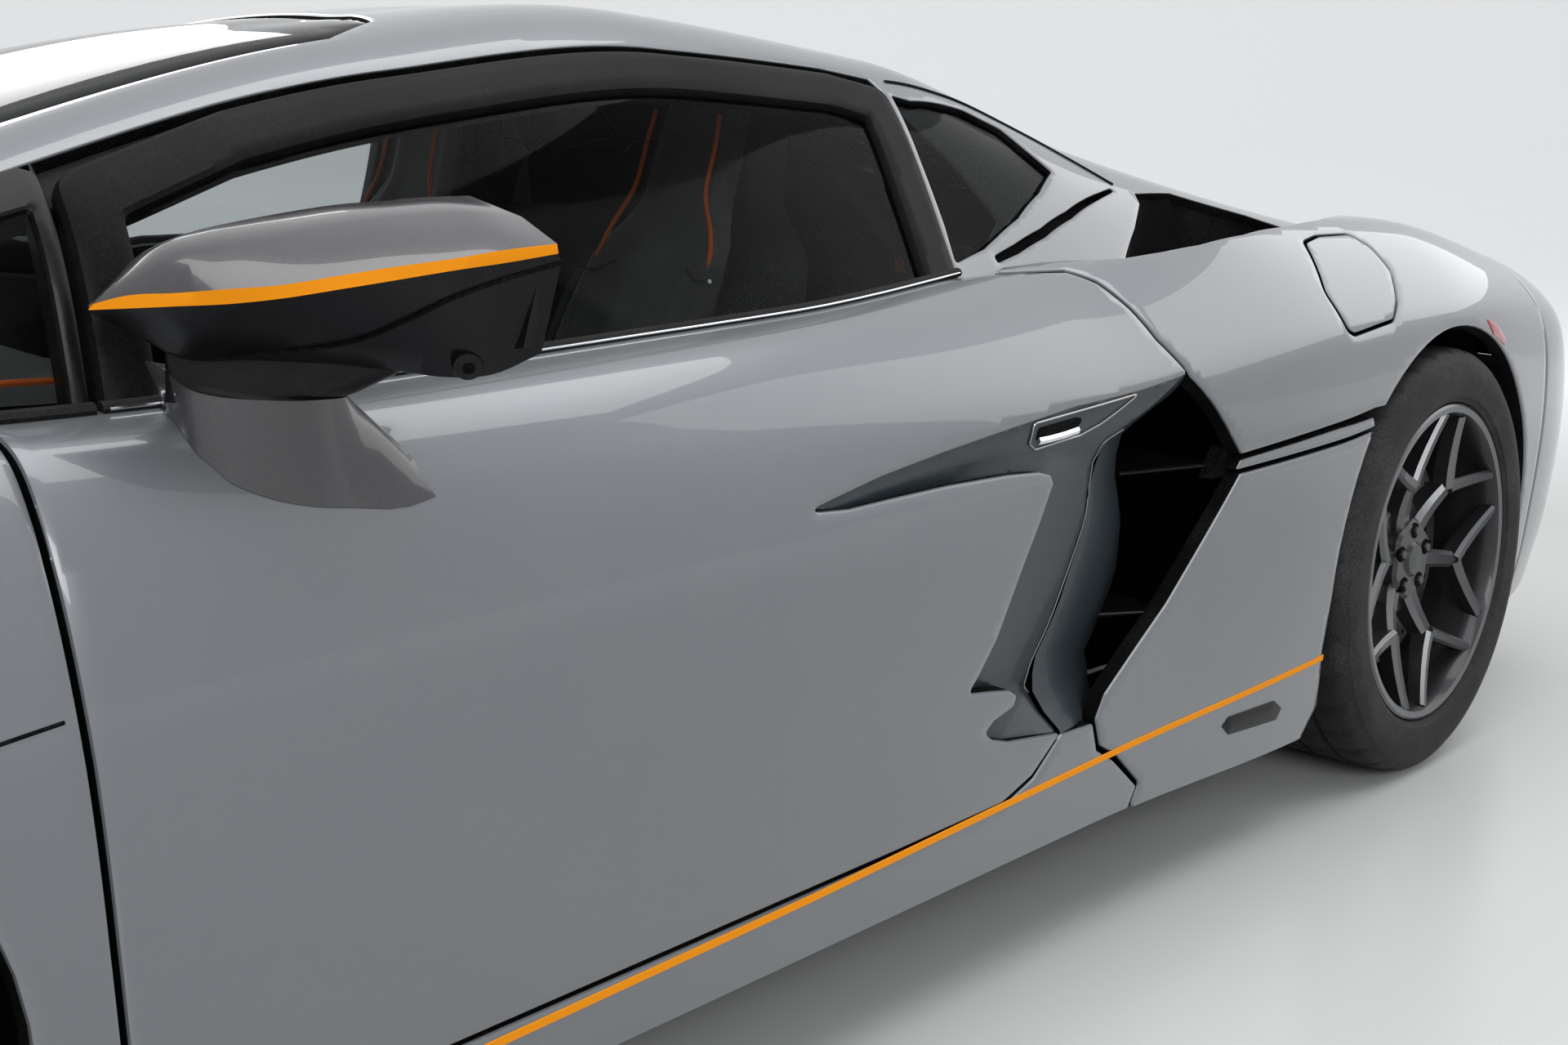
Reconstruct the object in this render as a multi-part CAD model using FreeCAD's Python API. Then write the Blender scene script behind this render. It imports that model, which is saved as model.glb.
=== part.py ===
import FreeCAD, Part
import math
import os

# Mid-engined two-seat sports car, in millimetres.
# +X runs to the rear, +Y to the car's right, +Z up. The origin is on the ground under the middle of the car.

V = FreeCAD.Vector

# Overall
WIDEST_Y = 1040.0
HALF_LENGTH = 2353.0
NOSE_PLAN_R = 1500.0
TAIL_PLAN_R = 3000.0

# Wheels
FRONT_AXLE_X = -1243.0
REAR_AXLE_X = 1415.0
FRONT_WHEEL_Y = 861.0
REAR_WHEEL_Y = 835.0
FRONT_TYRE_R = 343.0
REAR_TYRE_R = 364.0
FRONT_TYRE_HALF_W = 127.0
REAR_TYRE_HALF_W = 162.0
FRONT_RIM_R = 256.0
REAR_RIM_R = 269.0
SPOKES = 6
SPOKE_INSET = 28.0
FLATS = 40
ARCH_FLATS = 36
PLAN_FLATS = 8
DISC_R = 192.0
DISC_THICK = 26.0
DISC_INSET = 18.0
SPINDLE_R = 32.0
SPINDLE_GAP = 1.5
STEER_CLEAR_R = 100.0
STEER_GAP = 0.6
SHAFT_R = 20.0
RAIL_Y = 430.0
FRONT_RAIL_Z = 280.0
REAR_RAIL_Z = 300.0
FRONT_ARCH_R = 376.0
REAR_ARCH_R = 400.0

# Thicknesses and gaps
SKIN = 30.0
DOOR_THICK = 100.0
PILLAR = 42.0
FRAME_THICK = 24.0
GLASS = 6.0
LID_THICK = 22.0
FLAP_THICK = 8.0
GAP = 5.0
HOOD_HINGE_GAP = 16.0
SEAT_Y = 370.0
JACK_PAD_Z = 148.0
SHUT_Y = 960.0
SHUT_LEAN = 0.2
PLATE_Z = 770.0
PLATE_SPACING = 178.0
PLATE_HOLE_R = 3.0
WINDOW_TOP = 1250.0
LOUVRES = 4
LOUVRE_START_X = 830.0
LOUVRE_PITCH = 170.0
LOUVRE_LONG = 60.0
LOUVRE_HALF_WIDE = 330.0
DIFFUSER_FIN_Y = (130.0, 390.0, 650.0)
DIFFUSER_FIN_THICK = 9.0

# Lower body, right half. Columns: x, floor y z, sill y z, waist y z, shoulder y z, crest y z, middle y z, centre z
BODY = (
    (-2353, 620, 190, 650, 300, 650, 390, 620, 440, 520, 478, 300, 496, 500),
    (-2150, 790, 150, 835, 300, 835, 430, 800, 530, 700, 585, 400, 612, 620),
    (-1800, 905, 140, 945, 300, 950, 470, 925, 610, 805, 690, 450, 705, 712),
    (-1243, 930, 150, 975, 300, 988, 560, 962, 725, 850, 800, 450, 790, 785),
    (-824, 945, 157, 962, 300, 972, 560, 935, 725, 850, 786, 450, 800, 805),
    (-150, 950, 157, 958, 300, 968, 580, 935, 735, 845, 815, 450, 830, 835),
    (450, 951, 157, 960, 300, 966, 580, 950, 740, 800, 866, 450, 880, 885),
    (1000, 965, 145, 985, 300, 994, 600, 972, 790, 815, 940, 450, 915, 912),
    (1415, 960, 150, 990, 300, 998, 640, 978, 800, 832, 936, 450, 912, 910),
    (1900, 930, 200, 955, 340, 972, 620, 940, 780, 810, 876, 450, 880, 882),
    (2353, 850, 280, 880, 400, 890, 600, 860, 740, 740, 800, 450, 830, 835),
)

# Cabin and engine deck, right half. Columns: x, base y z, rail y z, middle y z, centre z
CANOPY = (
    (-1270, 780, 785, 775, 797, 420, 800, 803),
    (-1000, 845, 780, 800, 865, 470, 918, 935),
    (-760, 862, 765, 765, 968, 460, 1032, 1050),
    (-400, 862, 775, 690, 1070, 430, 1132, 1152),
    (0, 858, 805, 628, 1128, 400, 1183, 1201),
    (430, 812, 850, 600, 1116, 380, 1162, 1178),
    (800, 800, 900, 640, 1025, 380, 1085, 1100),
    (1200, 790, 905, 670, 960, 400, 990, 1000),
    (1750, 760, 860, 680, 893, 400, 905, 910),
)
CANOPY_SINK = 60.0

# Outlines seen from the side, in x and z
DOOR_FRONT = ((-824, 900), (-824, 790), (-819, 700), (-812, 560), (-806, 420), (-800, 300), (-796, 232))
DOOR_REAR = (
    (60, 242), (262, 252), (350, 300), (384, 322), (438, 385), (506, 479), (545, 599), (575, 667), (605, 737),
    (608, 800), (543, 862), (466, 900),
)
DOOR_TOP = ((-830, 500), (-830, 798), (-690, 798), (430, 905), (440, 905), (526, 870), (612, 808), (616, 500))
SCALLOP = (
    (-98, 643), (100, 648), (380, 655), (620, 690), (640, 560), (520, 400), (400, 290), (290, 305), (206, 350),
    (174, 396), (262, 507), (321, 627),
)
QUARTER_FRONT = (
    (475, 960), (475, 905), (550, 866), (615, 806), (618, 737), (733, 619), (730, 591), (577, 434), (424, 300),
    (400, 262), (520, 250), (520, 100),
)
FENDER_FRONT = ((-1590, 100), (-1590, 440), (-1790, 660), (-1790, 950))
BUMPER_REAR = ((-1594, 100), (-1594, 438), (-1794, 658), (-1794, 950))
TAIL_SPLIT_X = 1880.0
SIDE_OPENING = (
    (-700, 690), (-700, 975), (-582, 1012), (-372, 1060), (0, 1112), (287, 1112), (425, 1098), (440, 690),
)
DOOR_FRAME = (
    (-694, 700), (-694, 968), (-582, 1005), (-372, 1053), (0, 1104), (287, 1104), (408, 1090), (424, 700),
)
DOOR_PANE = (
    (-652, 800), (-652, 948), (-576, 972), (-368, 1018), (0, 1068), (280, 1066), (372, 1055), (392, 890),
    (230, 872), (-170, 826),
)
FRONT_PANE = ((-1000, 805), (-745, 805), (-745, 945), (-790, 928), (-960, 852))
QUARTER_PANE = ((458, 892), (470, 1078), (540, 1062), (640, 1030), (668, 985), (531, 905))
UPPER_INTAKE = ((700, 905), (755, 962), (1290, 944), (1240, 905))
SEAT_BACK_SIDE = (
    (-20, 290), (90, 600), (205, 860), (232, 930), (285, 1068), (385, 1060), (345, 920), (318, 850), (230, 570),
    (130, 230),
)
FUEL_FLAP = ((1030, 806), (1044, 904), (1180, 905), (1214, 850), (1196, 806))
SILL = ((-880, 100), (-880, 226), (-796, 226), (60, 236), (262, 246), (400, 256), (515, 246), (515, 100))
FLAP_REGION = ((1036, 812), (1049, 890), (1176, 892), (1206, 848), (1190, 812))
DIFFUSER_FLOOR = ((1890, 172), (2330, 300), (2330, 312), (1890, 186))
DIFFUSER_FIN = ((1950, 188), (2335, 302), (2335, 200), (1965, 150))
MUFFLER = ((1660, 400), (1660, 560), (1900, 560), (1900, 400))

# Outlines seen from above, in x and y
WINDSCREEN = (
    (-1232, 0), (-1224, 250), (-1190, 480), (-1110, 680), (-1000, 742), (-760, 705), (-400, 632), (-320, 560),
    (-300, 0),
)
HOOD = (
    (-2060, 0), (-2040, 360), (-1910, 620), (-1720, 700), (-1243, 708), (-1160, 700), (-1215, 520), (-1250, 300),
    (-1262, 0),
)
MIRROR_PLAN = ((-764, 897), (-735, 955), (-570, 1118), (-530, 1123), (-508, 1100), (-500, 925), (-520, 897))
ENGINE_LID = ((660, 0), (660, 330), (730, 470), (1200, 510), (1690, 550), (1700, 0))
HEADLAMP = ((-2150, 560), (-2105, 640), (-1930, 770), (-1880, 770), (-1930, 700), (-2060, 600), (-2120, 530))

DOOR_INNER_SIDE = ((-900, 752), (100, 752), (430, 716), (700, 700), (700, 1100), (-900, 1100))
AROUND_LID = ((655, -1), (655, 333), (727, 475), (1200, 515), (1695, 555), (1706, -1))
SPLITTER_LIP = ((-2345, 0), (-2300, 420), (-2140, 780), (-1900, 900), (-1900, 0))
SPLITTER_RISER = ((-2290, 0), (-2250, 380), (-2110, 700), (-1920, 820), (-1920, 0))

# Outlines seen from the front or back, in y and z
MIRROR_FRONT = ((897, 862), (925, 818), (1085, 812), (1112, 850), (1124, 895), (1100, 925), (960, 948), (897, 900))
MIRROR_ARM = ((880, 735), (985, 735), (1010, 822), (930, 822), (880, 780))
SEAT_BACK_FRONT = ((240, 200), (238, 600), (215, 860), (130, 925), (112, 1068))
NOSE_INTAKE = ((240, 205), (560, 215), (640, 320), (560, 395), (330, 380), (250, 300))
TAIL_LAMP = ((430, 690), (540, 745), (820, 735), (850, 690), (800, 650), (560, 660))
TAIL_OPENING = ((0, 470), (0, 620), (240, 620), (420, 640), (720, 600), (780, 500), (640, 420), (300, 440))
EXHAUST = ((0, 500), (95, 510), (120, 560), (90, 605), (0, 612))
EXHAUST_BORE = ((0, 512), (84, 520), (106, 560), (80, 596), (0, 602))


def vec(x, y, z):
    """Return a point."""
    return V(float(x), float(y), float(z))


def box(x0, x1, y0, y1, z0, z1):
    """Return a box between two corners."""
    return Part.makeBox(x1 - x0, y1 - y0, z1 - z0, vec(x0, y0, z0))


def polygon(points):
    """Return the face inside a closed run of points."""
    return Part.Face(Part.makePolygon(points + [points[0]]))


def closed_solid(faces):
    """Sew flat faces into one solid."""
    shell = Part.makeShell(faces)
    shell.sewShape()
    solid = Part.makeSolid(shell)
    if solid.Volume < 0:
        solid.reverse()
    return solid


def side_prism(outline, y0, y1):
    """Extrude an outline in x and z across the car, from y0 to y1."""
    return polygon([vec(x, y0, z) for x, z in outline]).extrude(vec(0, y1 - y0, 0))


def plan_prism(outline, z0, z1):
    """Extrude an outline in x and y upwards, from z0 to z1."""
    return polygon([vec(x, y, z0) for x, y in outline]).extrude(vec(0, 0, z1 - z0))


def leaning_prism(outline, y0, y1):
    """Extrude an outline in x and z across the car with the lean of the door's rear shut face.

    The outline holds at SHUT_Y. Further in it moves forward, so that the door swings clear of the quarter.
    """
    sections = []
    for y in (y0, y1):
        sections.append(wire([vec(x + SHUT_LEAN * (y - SHUT_Y), y, z) for x, z in outline]))
    return Part.makeLoft(sections, True, True)


def end_prism(outline, x0, x1):
    """Extrude an outline in y and z along the car, from x0 to x1."""
    return polygon([vec(x0, y, z) for y, z in outline]).extrude(vec(x1 - x0, 0, 0))


def rounded_points(x, y, z, radius, flats):
    """Return the corners of a round outline drawn with flats, one of them at the bottom."""
    corner = radius / math.cos(math.pi / flats)
    points = []
    for i in range(flats):
        angle = 2 * math.pi * (i + 0.5) / flats
        points.append(vec(x + corner * math.sin(angle), y, z - corner * math.cos(angle)))
    return points


def roller(x, z, radius, y0, y1, flats):
    """Return a short round bar across the car, drawn with flats to keep its mesh light."""
    return polygon(rounded_points(x, y0, z, radius, flats)).extrude(vec(0, y1 - y0, 0))


def mirrored(shape):
    """Return the left-hand copy of a right-hand shape."""
    return shape.mirror(vec(0, 0, 0), vec(0, 1, 0))


def both(shape):
    """Return a right-hand shape joined to its mirror image."""
    return shape.fuse(mirrored(shape)).removeSplitter()


def union(shapes):
    """Fuse a list of shapes."""
    whole = shapes[0]
    for shape in shapes[1:]:
        whole = whole.fuse(shape)
    return whole.removeSplitter()


def pair(shape):
    """Return a right-hand shape and its mirror image as two solids of one piece."""
    return Part.makeCompound(shape.Solids + mirrored(shape).Solids)


def largest(shape):
    """Return the largest solid of a shape, without the slivers that a cut leaves."""
    return max(shape.Solids, key=lambda solid: solid.Volume)


def wire(points):
    """Return a closed run of straight edges."""
    return Part.Wire([Part.makeLine(a, b) for a, b in zip(points, points[1:] + points[:1])])


def body_section(row, inset):
    """Return the corners of one half section of the lower body, moved in by the inset."""
    x, fy, fz, sy, sz, wy, wz, hy, hz, cy, cz, my, mz, tz = row
    points = [
        vec(x, 0, fz + inset),
        vec(x, fy - inset, fz + inset),
        vec(x, sy - inset, sz),
        vec(x, wy - inset, wz),
        vec(x, hy - inset, hz - 0.4 * inset),
        vec(x, cy - inset, cz - inset),
        vec(x, my, mz - inset),
        vec(x, 0, tz - inset),
    ]
    return points


def canopy_section(row, inset):
    """Return the corners of one half section of the cabin, moved in by the inset."""
    x, by, bz, ry, rz, my, mz, tz = row
    low = bz - CANOPY_SINK - inset
    points = [
        vec(x, 0, low),
        vec(x, by - inset, low),
        vec(x, ry - inset, rz - 0.7 * inset),
        vec(x, my, mz - inset),
        vec(x, 0, tz - inset),
    ]
    return points


def panelled_blank(sections):
    """Return the solid of flat panels from each section to the next."""
    faces = [polygon(sections[0]), polygon(sections[-1])]
    for one, two in zip(sections, sections[1:]):
        for i in range(len(one)):
            j = (i + 1) % len(one)
            faces.append(polygon([one[i], one[j], two[j]]))
            faces.append(polygon([one[i], two[j], two[i]]))
    return closed_solid(faces).removeSplitter()


def round_end(centre_x, radius):
    """Return the half of the car with the round plan of the nose, for a radius below zero, or of the tail."""
    side = 1 if radius > 0 else -1
    points = [(0, 0)]
    for i in range(PLAN_FLATS + 1):
        y = WIDEST_Y * i / PLAN_FLATS
        points.append((centre_x + side * math.sqrt(radius**2 - y**2), y))
    points.append((0, WIDEST_Y))
    return plan_prism(points, 0, 1300)


def body_blank(inset):
    """Return the right half of the lower body, with its nose and tail rounded in plan."""
    blank = panelled_blank([body_section(row, inset) for row in BODY])
    front = blank.common(round_end(-HALF_LENGTH + NOSE_PLAN_R, inset - NOSE_PLAN_R))
    rear = blank.common(round_end(HALF_LENGTH - TAIL_PLAN_R, TAIL_PLAN_R - inset))
    return front.fuse(rear).removeSplitter()


def canopy_blank(inset):
    """Return the right half of the cabin and the engine deck."""
    return panelled_blank([canopy_section(row, inset) for row in CANOPY])


def wheel_arches():
    """Return the round openings that the right-hand wheels need."""
    front = roller(FRONT_AXLE_X, FRONT_TYRE_R, FRONT_ARCH_R, 540, 1100, ARCH_FLATS)
    rear = roller(REAR_AXLE_X, REAR_TYRE_R, REAR_ARCH_R, 640, 1100, ARCH_FLATS)
    return Part.makeCompound([front, rear])


def turned_ring(x, z, profile, flats):
    """Return a ring across the car from a closed profile of radius and y, turned with flats."""
    rings = [rounded_points(x, y, z, radius, flats) for radius, y in profile]
    faces = []
    for one, two in zip(rings, rings[1:] + rings[:1]):
        for i in range(flats):
            j = (i + 1) % flats
            faces.append(polygon([one[i], one[j], two[j], two[i]]))
    return closed_solid(faces)


def tyre(axle_x, wheel_y, radius, half_w, rim_r):
    """Return a tyre with chamfered shoulders, open for its rim."""
    shoulder_r = radius - 40
    tread = half_w - 24
    profile = (
        (rim_r, -half_w), (shoulder_r, -half_w), (radius, -tread), (radius, tread), (shoulder_r, half_w),
        (rim_r, half_w),
    )
    return turned_ring(axle_x, radius, [(r, wheel_y + y) for r, y in profile], FLATS)


def spoke_outline(hub_r, fork_r, rim_r):
    """Return the outline of one Y spoke, as distances along and across it."""
    stem = 17
    arm = 12
    spread = math.radians(22)
    tip = vec(rim_r * math.cos(spread), rim_r * math.sin(spread), 0)
    fork = vec(fork_r, 0, 0)
    along = (tip - fork).normalize()
    normal = vec(-along.y, along.x, 0)
    outer = tip + normal * arm
    inner = tip - normal * arm
    crotch = fork + vec(arm / math.sin(math.atan2(along.y, along.x)) * 1.0, 0, 0)
    half = [(hub_r, stem), (fork_r - stem, stem), (outer.x, outer.y), (inner.x, inner.y), (crotch.x, 0)]
    lower = [(a, -c) for a, c in reversed(half[:-1])]
    return half + lower


def rim(axle_x, wheel_y, radius, half_w, rim_r):
    """Return a wheel: barrel, six forked spokes, hub and the brake disc bolted behind it."""
    face_y = half_w - SPOKE_INSET
    barrel = roller(axle_x, radius, rim_r, wheel_y - half_w + 8, wheel_y + half_w - 8, FLATS)
    barrel = barrel.cut(roller(axle_x, radius, rim_r - 12, wheel_y - half_w, wheel_y + half_w, FLATS))
    outline = spoke_outline(40, 0.60 * rim_r, rim_r - 6)
    spoke = polygon([vec(axle_x + a, wheel_y + face_y - 34, radius + c) for a, c in outline]).extrude(vec(0, 34, 0))
    parts = [barrel]
    for i in range(SPOKES):
        turned = spoke.copy()
        turned.rotate(vec(axle_x, wheel_y, radius), vec(0, 1, 0), i * 360.0 / SPOKES)
        parts.append(turned)
    disc_y = wheel_y - DISC_INSET
    parts.append(roller(axle_x, radius, 82, disc_y, wheel_y + face_y - 6, 12))
    parts.append(roller(axle_x, radius, DISC_R, disc_y, disc_y + DISC_THICK, 40))
    wheel = union(parts)
    return wheel.cut(roller(axle_x, radius, SPINDLE_R + SPINDLE_GAP, disc_y - 10, wheel_y + face_y - 30, 16))


def knuckle(axle_x, wheel_y, radius, face_y):
    """Return an upright with its spindle and brake caliper. Its inner side is round about the steering axis."""
    disc_y = wheel_y - DISC_INSET
    upright = Part.makeCylinder(STEER_CLEAR_R, 290, vec(axle_x, wheel_y, radius - 145))
    upright = upright.common(box(axle_x - 62, axle_x + 62, wheel_y - 120, disc_y - 8, 0, 900))
    spindle = roller(axle_x, radius, SPINDLE_R, disc_y - 20, wheel_y + face_y - 40, 16)
    arm = box(axle_x + 40, axle_x + 190, disc_y - 34, disc_y - 14, radius - 45, radius + 45)
    grip = roller(axle_x, radius, 222, disc_y - 34, disc_y + DISC_THICK + 30, 40)
    grip = grip.cut(roller(axle_x, radius, 148, disc_y - 40, disc_y + DISC_THICK + 40, 24))
    grip = grip.common(box(axle_x + 60, axle_x + 240, disc_y - 40, disc_y + DISC_THICK + 40, radius - 95, radius + 95))
    slot = roller(axle_x, radius, DISC_R + 7, disc_y - 6, disc_y + DISC_THICK + 6, 40)
    return union([upright, spindle, arm, grip.cut(slot)])


def wishbone(reach, rail_y, end, z0, z1):
    """Return the right-hand A-shaped arm from two pivots on the rail to the upright."""
    foot = 0.4 * reach
    outline = [
        (-reach, rail_y), (foot - reach, rail_y), (-16, end - 90), (16, end - 90), (reach - foot, rail_y),
        (reach, rail_y), (32, end), (-32, end),
    ]
    return plan_prism(outline, z0, z1)


def subframe(axle_x, wheel_y, radius, rail_z, reach, hold_r):
    """Return the wishbones, the cross beams under the rails and the shaft between two uprights."""
    end = wheel_y - STEER_CLEAR_R + 40
    low = radius - 132
    halves = [
        wishbone(reach, RAIL_Y, end, low, low + 28),
        wishbone(0.8 * reach, RAIL_Y, end, radius + 100, radius + 122),
        box(-reach, -0.6 * reach, 0, RAIL_Y + 1, low, low + 28),
        box(0.6 * reach, reach, 0, RAIL_Y + 1, low, low + 28),
        box(-reach, -0.6 * reach, RAIL_Y, RAIL_Y + 60, low, rail_z),
        box(0.6 * reach, reach, RAIL_Y, RAIL_Y + 60, low, rail_z),
        roller(0, radius, SHAFT_R, 0, end, 8),
    ]
    frame = both(union(halves))
    frame.translate(vec(axle_x, 0, 0))
    hold = Part.makeCylinder(hold_r, 900, vec(axle_x, wheel_y, 0))
    return frame.cut(hold).cut(mirrored(hold)).removeSplitter()


def mirror():
    """Return the right-hand mirror: a wedge-shaped head on an arm that stands on the door."""
    head = plan_prism(MIRROR_PLAN, 700, 1000).common(end_prism(MIRROR_FRONT, -900, -400))
    arm = end_prism(MIRROR_ARM, -690, -575)
    return head.fuse(arm).removeSplitter()


def around_hood():
    """Return the hood's outline grown by the gap on all sides."""
    front = [(x - GAP - 1, y + GAP + 1) for x, y in HOOD[:5]]
    rear = [(x + HOOD_HINGE_GAP, y + GAP) for x, y in HOOD[5:]]
    return [(front[0][0], -1)] + front + rear + [(rear[-1][0], -1)]


def door_skin_prism():
    """Return the region that a door fills below the window."""
    front = side_prism(list(DOOR_FRONT) + [(900, 232), (900, 900)], 600, 1100)
    rear = leaning_prism([(-1200, 232), (-796, 232)] + list(DOOR_REAR) + [(-1200, 900)], 600, 1100)
    return front.common(rear)


def scallop_cutter():
    """Return the wedge that hollows the door towards the side intake."""
    prism = side_prism(SCALLOP, 600, 1100)
    wedge = plan_prism([(-140, 985), (-98, 968), (620, 885), (700, 1100), (-140, 1100)], 200, 800)
    return prism.common(wedge)


def write(name, shape):
    """Write one piece to its own file."""
    shape.exportStep("parts/" + name + ".step")


def write_pair(name, shape):
    """Write the right-hand piece and its mirror image."""
    write(name + "_right", shape)
    write(name + "_left", mirrored(shape))


def build_wheels():
    """Write the tyres, rims and knuckles of both axles."""
    for end, x, y, radius, half_w, rim_r in (
        ("front", FRONT_AXLE_X, FRONT_WHEEL_Y, FRONT_TYRE_R, FRONT_TYRE_HALF_W, FRONT_RIM_R),
        ("rear", REAR_AXLE_X, REAR_WHEEL_Y, REAR_TYRE_R, REAR_TYRE_HALF_W, REAR_RIM_R),
    ):
        write_pair("tyre_" + end, tyre(x, y, radius, half_w, rim_r))
        write_pair("rim_" + end, rim(x, y, radius, half_w, rim_r))
        write_pair("knuckle_" + end, knuckle(x, y, radius, half_w - SPOKE_INSET))


def tub_half(inner):
    """Return the right half of the cabin's floor, sills and bulkheads."""
    sill_end = box(500, 985, 700, 960, 189, 236).common(inner)
    return union([
        box(-866, 500, 0, 700, 160, 188),
        box(-866, 500, 700, 905, 189, 225),
        box(-866, 500, 690, 720, 160, 200),
        box(-836, 470, 700, 845, 223, 380),
        box(-866, -840, 0, 700, 180, 744),
        box(-866, -840, 700, 840, 215, 690),
        box(-864, -836, 700, 1000, 500, 690).common(inner),
        box(470, 500, 0, 690, 160, 890),
        box(470, 500, 690, 710, 160, 236),
        box(-800, -730, 600, 670, JACK_PAD_Z, 161),
        box(440, 500, 600, 670, JACK_PAD_Z, 161),
        sill_end,
    ])


def front_frame_half(inner):
    """Return the right half of the front rails, towers and brackets for the nose and fenders."""
    z0 = FRONT_RAIL_Z
    top = FRONT_RAIL_Z + 120
    rail = RAIL_Y
    return union([
        box(-2100, -866, rail, rail + 70, z0, top),
        box(-2080, -2040, 0, rail + 70, 300, 400),
        box(-1370, -1116, rail + 15, rail + 75, top - 1, 744),
        box(-2330, -2060, 150, 215, 300, 400).common(inner),
        box(-2080, -2040, 215, 900, 300, 400).common(inner),
        box(-1300, -1186, 445, 930, 728, 744).common(inner),
    ])


def luggage_tray_half():
    """Return the right half of the open box between the front towers."""
    floor = FRONT_RAIL_Z + 120
    wall = RAIL_Y + 12
    return union([
        box(-1812, -1000, 0, wall, floor, floor + 10),
        box(-1800, -1010, RAIL_Y, wall, floor, 640),
        box(-1812, -1800, 0, wall, floor, 590),
        box(-1010, -1000, 0, wall, floor, 700),
    ])


def intake_duct(inner):
    """Return the right-hand duct behind the side intake: its inner wall and its rear wall."""
    return union([
        box(500, 1000, 660, 690, 240, 850),
        box(900, 985, 680, 1000, 240, 850).common(inner),
    ])


def rear_frame_half(inner, diffuser):
    """Return the right half of the rear rails, towers and brackets for the quarters and the tail."""
    z0 = REAR_RAIL_Z
    top = REAR_RAIL_Z + 100
    rail = RAIL_Y
    leg = box(1960, 2000, rail, rail + 75, 180, z0 + 30).cut(diffuser)
    return union([
        box(500, 2000, rail, rail + 75, z0, top),
        box(640, 700, 0, rail + 10, z0, z0 + 40),
        box(1150, 1210, 0, rail + 10, z0, z0 + 40),
        box(1290, 1540, rail + 15, rail + 75, top - 1, 800),
        box(1960, 2000, 0, 700, z0 + 30, top + 30),
        box(1960, 2000, 300, rail + 70, top, 730),
        box(500, 540, rail, 660, z0, top),
        leg,
        box(1340, 1490, rail + 15, 990, 772, 800).common(inner),
        box(1340, 1490, 715, 800, 790, 860).common(inner),
        box(1960, 2345, 300, 380, 690, 730).common(inner),
    ])


def seat():
    """Return the right-hand bucket seat: cushion, and a leaning back with shoulders and headrest."""
    base = side_prism([(-430, 188), (-440, 320), (-390, 350), (20, 300), (120, 188)], -235, 235)
    back = side_prism(SEAT_BACK_SIDE, -240, 240)
    outline = [(-y, z) for y, z in SEAT_BACK_FRONT] + [(y, z) for y, z in reversed(SEAT_BACK_FRONT)]
    whole = base.fuse(back.common(end_prism(outline, -100, 500))).removeSplitter()
    whole.translate(vec(0, SEAT_Y, 0))
    return whole


def dashboard():
    """Return the dashboard and the console between the seats."""
    top = side_prism([(-840, 520), (-840, 742), (-700, 772), (-600, 762), (-560, 700), (-600, 570), (-700, 510)], 0, 690)
    console = side_prism([(-640, 188), (-660, 560), (-580, 575), (-450, 430), (100, 400), (150, 188)], 0, 105)
    return both(top.fuse(console))


def steering_wheel():
    """Return the left-hand steering wheel with its column."""
    sides = 20
    rim_r = 180
    grip = 24

    def ring(radius):
        points = []
        for i in range(sides):
            angle = 2 * math.pi * (i + 0.5) / sides
            points.append(vec(0, radius * math.cos(angle), max(radius * math.sin(angle), -0.82 * radius)))
        return polygon(points)

    wheel = ring(rim_r).cut(ring(rim_r - grip)).extrude(vec(22, 0, 0))
    bar = box(0, 18, -rim_r + 10, rim_r - 10, -30, 12)
    boss = box(-10, 26, -60, 60, -80, 30)
    column = box(-165, 5, -24, 24, -34, 14)
    wheel = union([wheel, bar, boss, column])
    wheel.rotate(vec(0, 0, 0), vec(0, 1, 0), -22)
    wheel.translate(vec(-440, -SEAT_Y, 690))
    return wheel


def build_doors(outer, canopy, pane_shell):
    """Write the doors with their window frames, their glass and the mirrors that stand on them."""
    lower = outer.cut(body_blank(DOOR_THICK)).common(door_skin_prism())
    lower = lower.common(plan_prism(DOOR_INNER_SIDE, 100, 1000))
    lower = lower.cut(scallop_cutter()).cut(box(-900, 480, 600, 852, 200, 395))
    ring = canopy.cut(canopy_blank(FRAME_THICK)).common(side_prism(DOOR_FRAME, 300, 1100))
    ring = ring.cut(side_prism(DOOR_PANE, 300, 1100))
    door = largest(lower.fuse(ring).removeSplitter())
    write_pair("door", door)
    write_pair("door_glass", largest(pane_shell.common(side_prism(DOOR_PANE, 300, 1100))))
    write_pair("mirror", largest(mirror().cut(door)))


def build_cabin_shell(canopy, pane_shell, arches):
    """Write the roof with its pillars, the windshield and the fixed side panes, and return the roof."""
    shell = canopy.cut(canopy_blank(PILLAR))
    for opening in (
        side_prism(SIDE_OPENING, 300, 1100),
        plan_prism(WINDSCREEN, 780, WINDOW_TOP),
        plan_prism(AROUND_LID, 600, 1300),
        side_prism(FRONT_PANE, 500, 1100),
        side_prism(QUARTER_PANE, 300, 1100),
        side_prism(UPPER_INTAKE, 600, 1100),
        arches,
        side_prism(DOOR_TOP, 500, 1100),
        plan_prism(around_hood(), 500, 900),
    ):
        shell = shell.cut(opening)
    roof_frame = largest(both(largest(shell)))
    write("roof_frame", roof_frame)
    screen = canopy.cut(canopy_blank(GLASS)).common(plan_prism(WINDSCREEN, 780, WINDOW_TOP))
    write("windshield", largest(both(screen)))
    panes = []
    for outline in (FRONT_PANE, QUARTER_PANE):
        panes += pair(largest(pane_shell.common(side_prism(outline, 300, 1100)))).Solids
    write("quarter_glass", Part.makeCompound(panes))
    return roof_frame


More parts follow.
